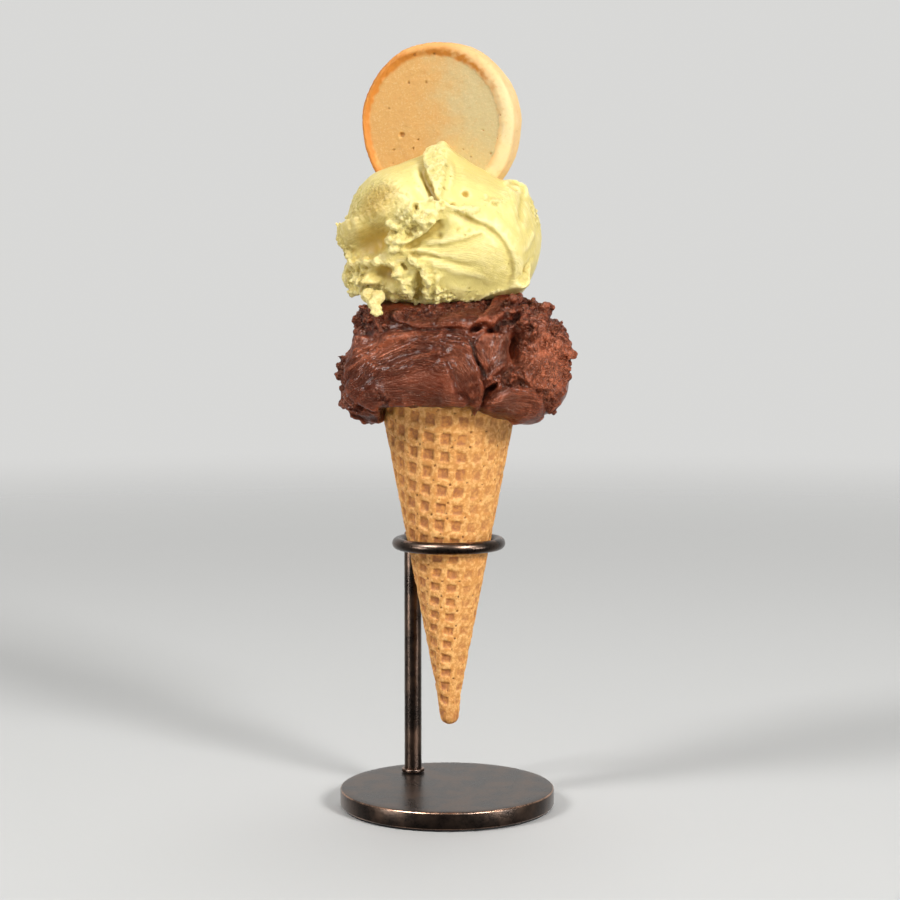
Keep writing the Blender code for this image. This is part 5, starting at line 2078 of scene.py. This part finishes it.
@dataclass
class Shortbread:
    """A round biscuit with a raised rim, standing in the upper scoop."""

    radius: float = 30.6
    thickness: float = 9.6
    rim: float = 3.4
    dish: float = 1.3
    corner: float = 1.9
    middle: Triple = (-2.3, 7.5, 253.4)
    turn: float = math.radians(23.0)
    nod: float = math.radians(5.0)
    steps: int = 400
    pinholes: tuple[Triple, ...] = (
        (-12.9, -2.8, 1.0), (-9.2, 16.0, 0.5), (-2.2, 16.0, 0.45), (-6.5, 26.2, 0.5),
        (1.5, 26.4, 0.5), (-17.5, 7.0, 0.4),
    )
    grain: Grain = field(default_factory=lambda: Grain(17))
    finish: ShortbreadFinish = field(default_factory=ShortbreadFinish)

    def build(self) -> Object:
        """Makes and dresses the biscuit.

        Returns:
            The piece.
        """
        mesh = spun(self._profile(), self.steps, 1e-3)
        bmesh.ops.recalc_face_normals(mesh, faces=mesh.faces)
        data = loose_mesh(mesh, "biscuit")
        points, marks = self._baked(vertex_points(data))
        move_vertices(data, points)
        for name, values in marks.items():
            store_mark(data, name, values)
        data.transform(Matrix.Translation(self.middle) @ Matrix.Rotation(-self.turn, 4, "Z")
                       @ Matrix.Rotation(self.nod, 4, "X") @ Matrix.Rotation(math.pi / 2, 4, "X"))
        return add_piece("shortbread_round", data, self.finish.made(), "shortbread",
                         70)

    def _profile(self) -> list[Vector]:
        """Half of the cross-section, from the back's middle to the face's."""
        half, corner = self.thickness / 2, self.corner
        points = [Vector((self.radius * 0.94 * i / 26, 0, -half)) for i in range(26)]
        points += quarter(self.radius - corner, -half + corner, corner, -90, 7)
        points += [Vector((self.radius, 0, -half + corner + (self.thickness - 2 * corner) * i / 14))
                   for i in range(1, 14)]
        points += quarter(self.radius - corner, half - corner, corner, 0, 9)
        inner = self.radius - self.rim
        for share in (i / 12 for i in range(1, 13)):
            fall = share * share * (3 - 2 * share)
            points.append(Vector((inner + 1.2 - 3.0 * share, 0, half - self.dish * fall)))
        start = inner - 1.8
        points += [Vector((start * (1 - i / 62), 0, half - self.dish)) for i in range(1, 63)]
        return points

    def _baked(self, points: Array) -> tuple[Array, dict[str, Array]]:
        """Makes the turned shape uneven, and marks its colours.

        Args:
            points: The turned biscuit's points, its face towards +Z.

        Returns:
            The moved points, and the marks by name.
        """
        around = np.arctan2(points[:, 1], points[:, 0])
        out = np.hypot(points[:, 0], points[:, 1])
        face = points[:, 2] > 0
        uneven = 1 + 0.006 * np.sin(3 * around + 0.6) + 0.004 * np.sin(7 * around)
        grain = self.grain
        uneven += 0.006 * grain.layered(points / 5.5 + 9, 2)
        rough = 0.2 * grain.layered(points / 4.5, 3) + 0.1 * grain.smooth(points / 1.2)
        inner = self.radius - self.rim
        floor = ease(inner - 0.2 - out + 0.8 * grain.smooth(points / 3.0 + 1), 0.0, 1.8) * face
        rough *= 1 - 0.5 * floor
        warp = 5.0 * grain.layered(points / 14.0 + 3, 2)
        # Painted shade: how far towards the shaded left side each point lies.
        side = ease((warp - points[:, 0]) / self.radius, -0.95, 0.5)
        top = ease(np.sin(around), 0.1, 0.9) * ease(out, 4.0, 24.0)
        left = ease(-np.cos(around), 0.2, 0.9)
        browning_and_shade = self._browning_and_shade(points, out, top, left) * face
        crumbly = np.clip(0.25 + 0.9 * left + 0.5 * top, 0, 1) * ease(out, inner - 1.8, inner + 0.6)
        rough += 0.26 * crumbly * face * grain.layered(points / 1.3 + 6, 2)
        holes = self._holes(points, face)
        swirl = 0.025 * np.sin(out * 1.5 + 1.5 * np.sin(around + 0.5))
        swirl *= ease(inner - out, 0, 6) * face
        moved = points.copy()
        moved[:, :2] *= uneven[:, None]
        away = points / np.maximum(np.linalg.norm(points, axis=1), 1e-6)[:, None]
        flat = np.where(np.abs(points[:, 2]) > self.thickness / 2 - self.dish - 0.1, 1.0, 0.0)
        moved[:, 2] += (rough + swirl - 0.9 * holes) * np.sign(points[:, 2]) * flat
        moved[:, :2] += (rough * (1 - flat))[:, None] * away[:, :2]
        # Golden towards the left and the top and round the edges: partly baked colour, partly
        # painted shade.
        golden = np.clip(ease(-points[:, 0] / self.radius, -0.5, 0.5) * 0.9 + 0.55 * top, 0, 1)
        golden = np.maximum(golden, 0.4 * ease(out, self.radius - 0.7, self.radius))
        golden = np.maximum(golden, 0.45 * bell(out - inner + 1.2, 1.5) * face)
        moved[:, 0] -= 1.7 * ease(self.radius - out, 0.0, self.rim + 1.4) * face
        return moved, {"browning_and_shade": browning_and_shade, "floor": floor, "hole": holes, "shade_side": side,
                       "golden": golden}

    def _browning_and_shade(self, points: Array, out: Array, top: Array, left: Array) -> Array:
        """How brown the rim's crest and the left side are: partly baked colour, partly painted
        shade, with a painted shadow line along the crest at the top and left.

        Args:
            points: The turned biscuit's points.
            out: Their distances from its axis.
            top: How near the upper edge each lies, from 0 to 1.
            left: How near the left edge each lies, from 0 to 1.

        Returns:
            A value from 0 to about 2 for each point.
        """
        inner = self.radius - self.rim
        crest = bell(out - inner - 0.5 * self.grain.smooth(points / 2.5 + 5), 1.7)
        patch = 0.75 + 0.6 * self.grain.layered(points / 5.0 + 4, 3)
        # Brown line along the rim's inner crest, heavier at the top and left: partly baked colour,
        # partly a painted shadow line.
        browning_and_shade = crest * patch * np.clip(0.12 + 0.5 * top + 0.65 * left, 0, 1)
        # Painted shade, partly baked colour: the left side browns.
        browning_and_shade += left * ease(out, inner - 1.2, self.radius - 1.6) * 1.6 * patch
        return browning_and_shade * 1.45 * (1 + 0.5 * self.grain.smooth(points / 1.6 + 2))

    def _holes(self, points: Array, face: Array) -> Array:
        """Small holes all over, and the larger ones that show on the face."""
        first, _, _, chance = self.grain.cells(points / 2.6 + 8)
        holes = ease(0.15 - first, -0.02, 0.08) * (chance < 0.16)
        for x, y, size in self.pinholes:
            far = np.hypot(points[:, 0] - x, points[:, 1] - y)
            holes = np.maximum(holes, ease(size * 1.2 - far, 0.0, 0.45) * face)
        return holes


# Studio


@dataclass
class Studio:
    """A pale seamless floor, soft lights and the camera."""

    camera_at: Triple = (1.08, -733.2, 185.3)
    pitch: float = 0.0703461
    lens: float = 79.296
    floor_grey: float = 0.55
    backdrop: float = 0.69
    surround: float = 0.06
    floor_radius: float = 4.0
    floor_fades: Pair = (0.45, 1.9)

    def build(self) -> None:
        """Makes the floor, lights, world and camera."""
        scene = bpy.context.scene
        scene.view_settings.view_transform = "Standard"
        self._floor()
        self._world(scene)
        for name, place, aim_height, size, power, hidden_from in (
            ("right_light", (1400, -1800, 1250), 180, (620, 620), 64.0, None),
            ("left_light", (-1500, -1000, 1600), 180, (520, 700), 30.0, None),
            ("top_light", (200, 700, 2200), 180, (1200, 1200), 14.0, None),
            ("left_sheen", (-1100, -1100, 1750), 180, (900, 900), 85.0, "visible_diffuse"),
            ("right_sheen", (1100, -1350, 1400), 180, (700, 700), 48.0, "visible_diffuse"),
            ("left_glint", (-1500, -900, 120), 180, (500, 300), 14.0, "visible_diffuse"),
            ("right_glint", (1500, -900, 120), 180, (500, 300), 14.0, "visible_diffuse"),
            ("front_light", (-300, -2300, 100), 150, (1500, 900), 9.0, "visible_glossy"),
        ):
            light = self._light(name, place, (0, 0, aim_height), size, power)
            if hidden_from:
                setattr(light, hidden_from, False)
        data = bpy.data.cameras.new("camera")
        data.lens = self.lens
        data.sensor_width = 36.0
        data.clip_start = 0.01
        camera = placed("camera", data)
        camera.location = Vector(self.camera_at) * MM
        camera.rotation_euler = (math.pi / 2 - self.pitch, 0, 0)
        scene.camera = camera

    def _floor(self) -> None:
        """A wide round floor that melts into the backdrop far out."""
        mesh = bmesh.new()
        bmesh.ops.create_circle(mesh, cap_ends=True, segments=96, radius=self.floor_radius)
        data = loose_mesh(mesh, "studio_floor")
        board = Board("studio_grey")
        grey = self.floor_grey
        colour = board.mix(board.noise(400.0, 2.0), (grey, grey, grey * 0.985),
                           (grey * 1.02, grey * 1.02, grey))
        out = board.node("ShaderNodeVectorMath", {"operation": "LENGTH"}, board.where(), out=1)
        solid = 1 - out.between(*self.floor_fades)
        finish = board.finish({"Roughness": 0.9, "Specular IOR Level": 0.1}, Base_Color=colour,
                              Alpha=solid)
        data.materials.append(finish)
        floor = placed("studio_floor", data)
        floor.visible_glossy = False

    def _world(self, scene: bpy.types.Scene) -> None:
        """An even pale surround, paler as a backdrop than as a light."""
        world = bpy.data.worlds.new("studio")
        world.use_nodes = True
        shade = world.node_tree.nodes["Background"]
        shade.inputs["Color"].default_value = (1.0, 0.998, 0.982, 1)
        seen = world.node_tree.nodes.new("ShaderNodeLightPath")
        power = world.node_tree.nodes.new("ShaderNodeMapRange")
        power.inputs["To Max"].default_value = self.backdrop
        place = world.node_tree.nodes.new("ShaderNodeNewGeometry")
        parts = world.node_tree.nodes.new("ShaderNodeSeparateXYZ")
        sky = world.node_tree.nodes.new("ShaderNodeMapRange")
        sky.inputs["From Min"].default_value = 0.1
        sky.inputs["From Max"].default_value = -0.8
        sky.inputs["To Min"].default_value = self.surround
        sky.inputs["To Max"].default_value = self.backdrop
        for start, end in (
            (place.outputs["Incoming"], parts.inputs[0]),
            (parts.outputs["Y"], sky.inputs["Value"]),
            (sky.outputs["Result"], power.inputs["To Min"]),
            (seen.outputs["Is Camera Ray"], power.inputs["Value"]),
            (power.outputs["Result"], shade.inputs["Strength"]),
        ):
            world.node_tree.links.new(start, end)
        scene.world = world

    def _light(self, name: str, place: Triple, aim: Triple,
               size: Pair, power: float) -> Object:
        """A soft rectangular light.

        Args:
            name: Its name.
            place: Where it hangs, in millimetres.
            aim: The point it faces.
            size: Its sides in millimetres.
            power: Its power in watts.

        Returns:
            The light.
        """
        data = bpy.data.lights.new(name, "AREA")
        data.shape = "RECTANGLE"
        data.size, data.size_y = size[0] * MM, size[1] * MM
        data.energy = power
        light = placed(name, data)
        light.location = Vector(place) * MM
        light.rotation_euler = (Vector(aim) - Vector(place)).to_track_quat("-Z", "Y").to_euler()
        return light


def main() -> None:
    """Builds every piece in order."""
    logging.basicConfig(level=logging.INFO, format="%(message)s")
    Studio().build()
    for piece in Stand().build():
        log.info("stand piece %s", piece.name)
    for maker in (WaffleCone(), chocolate_scoop(), pistachio_scoop(), Shortbread()):
        piece = maker.build()
        log.info("piece %s, %d points", piece.name, len(piece.data.vertices))


if __name__ == "__main__":
    main()
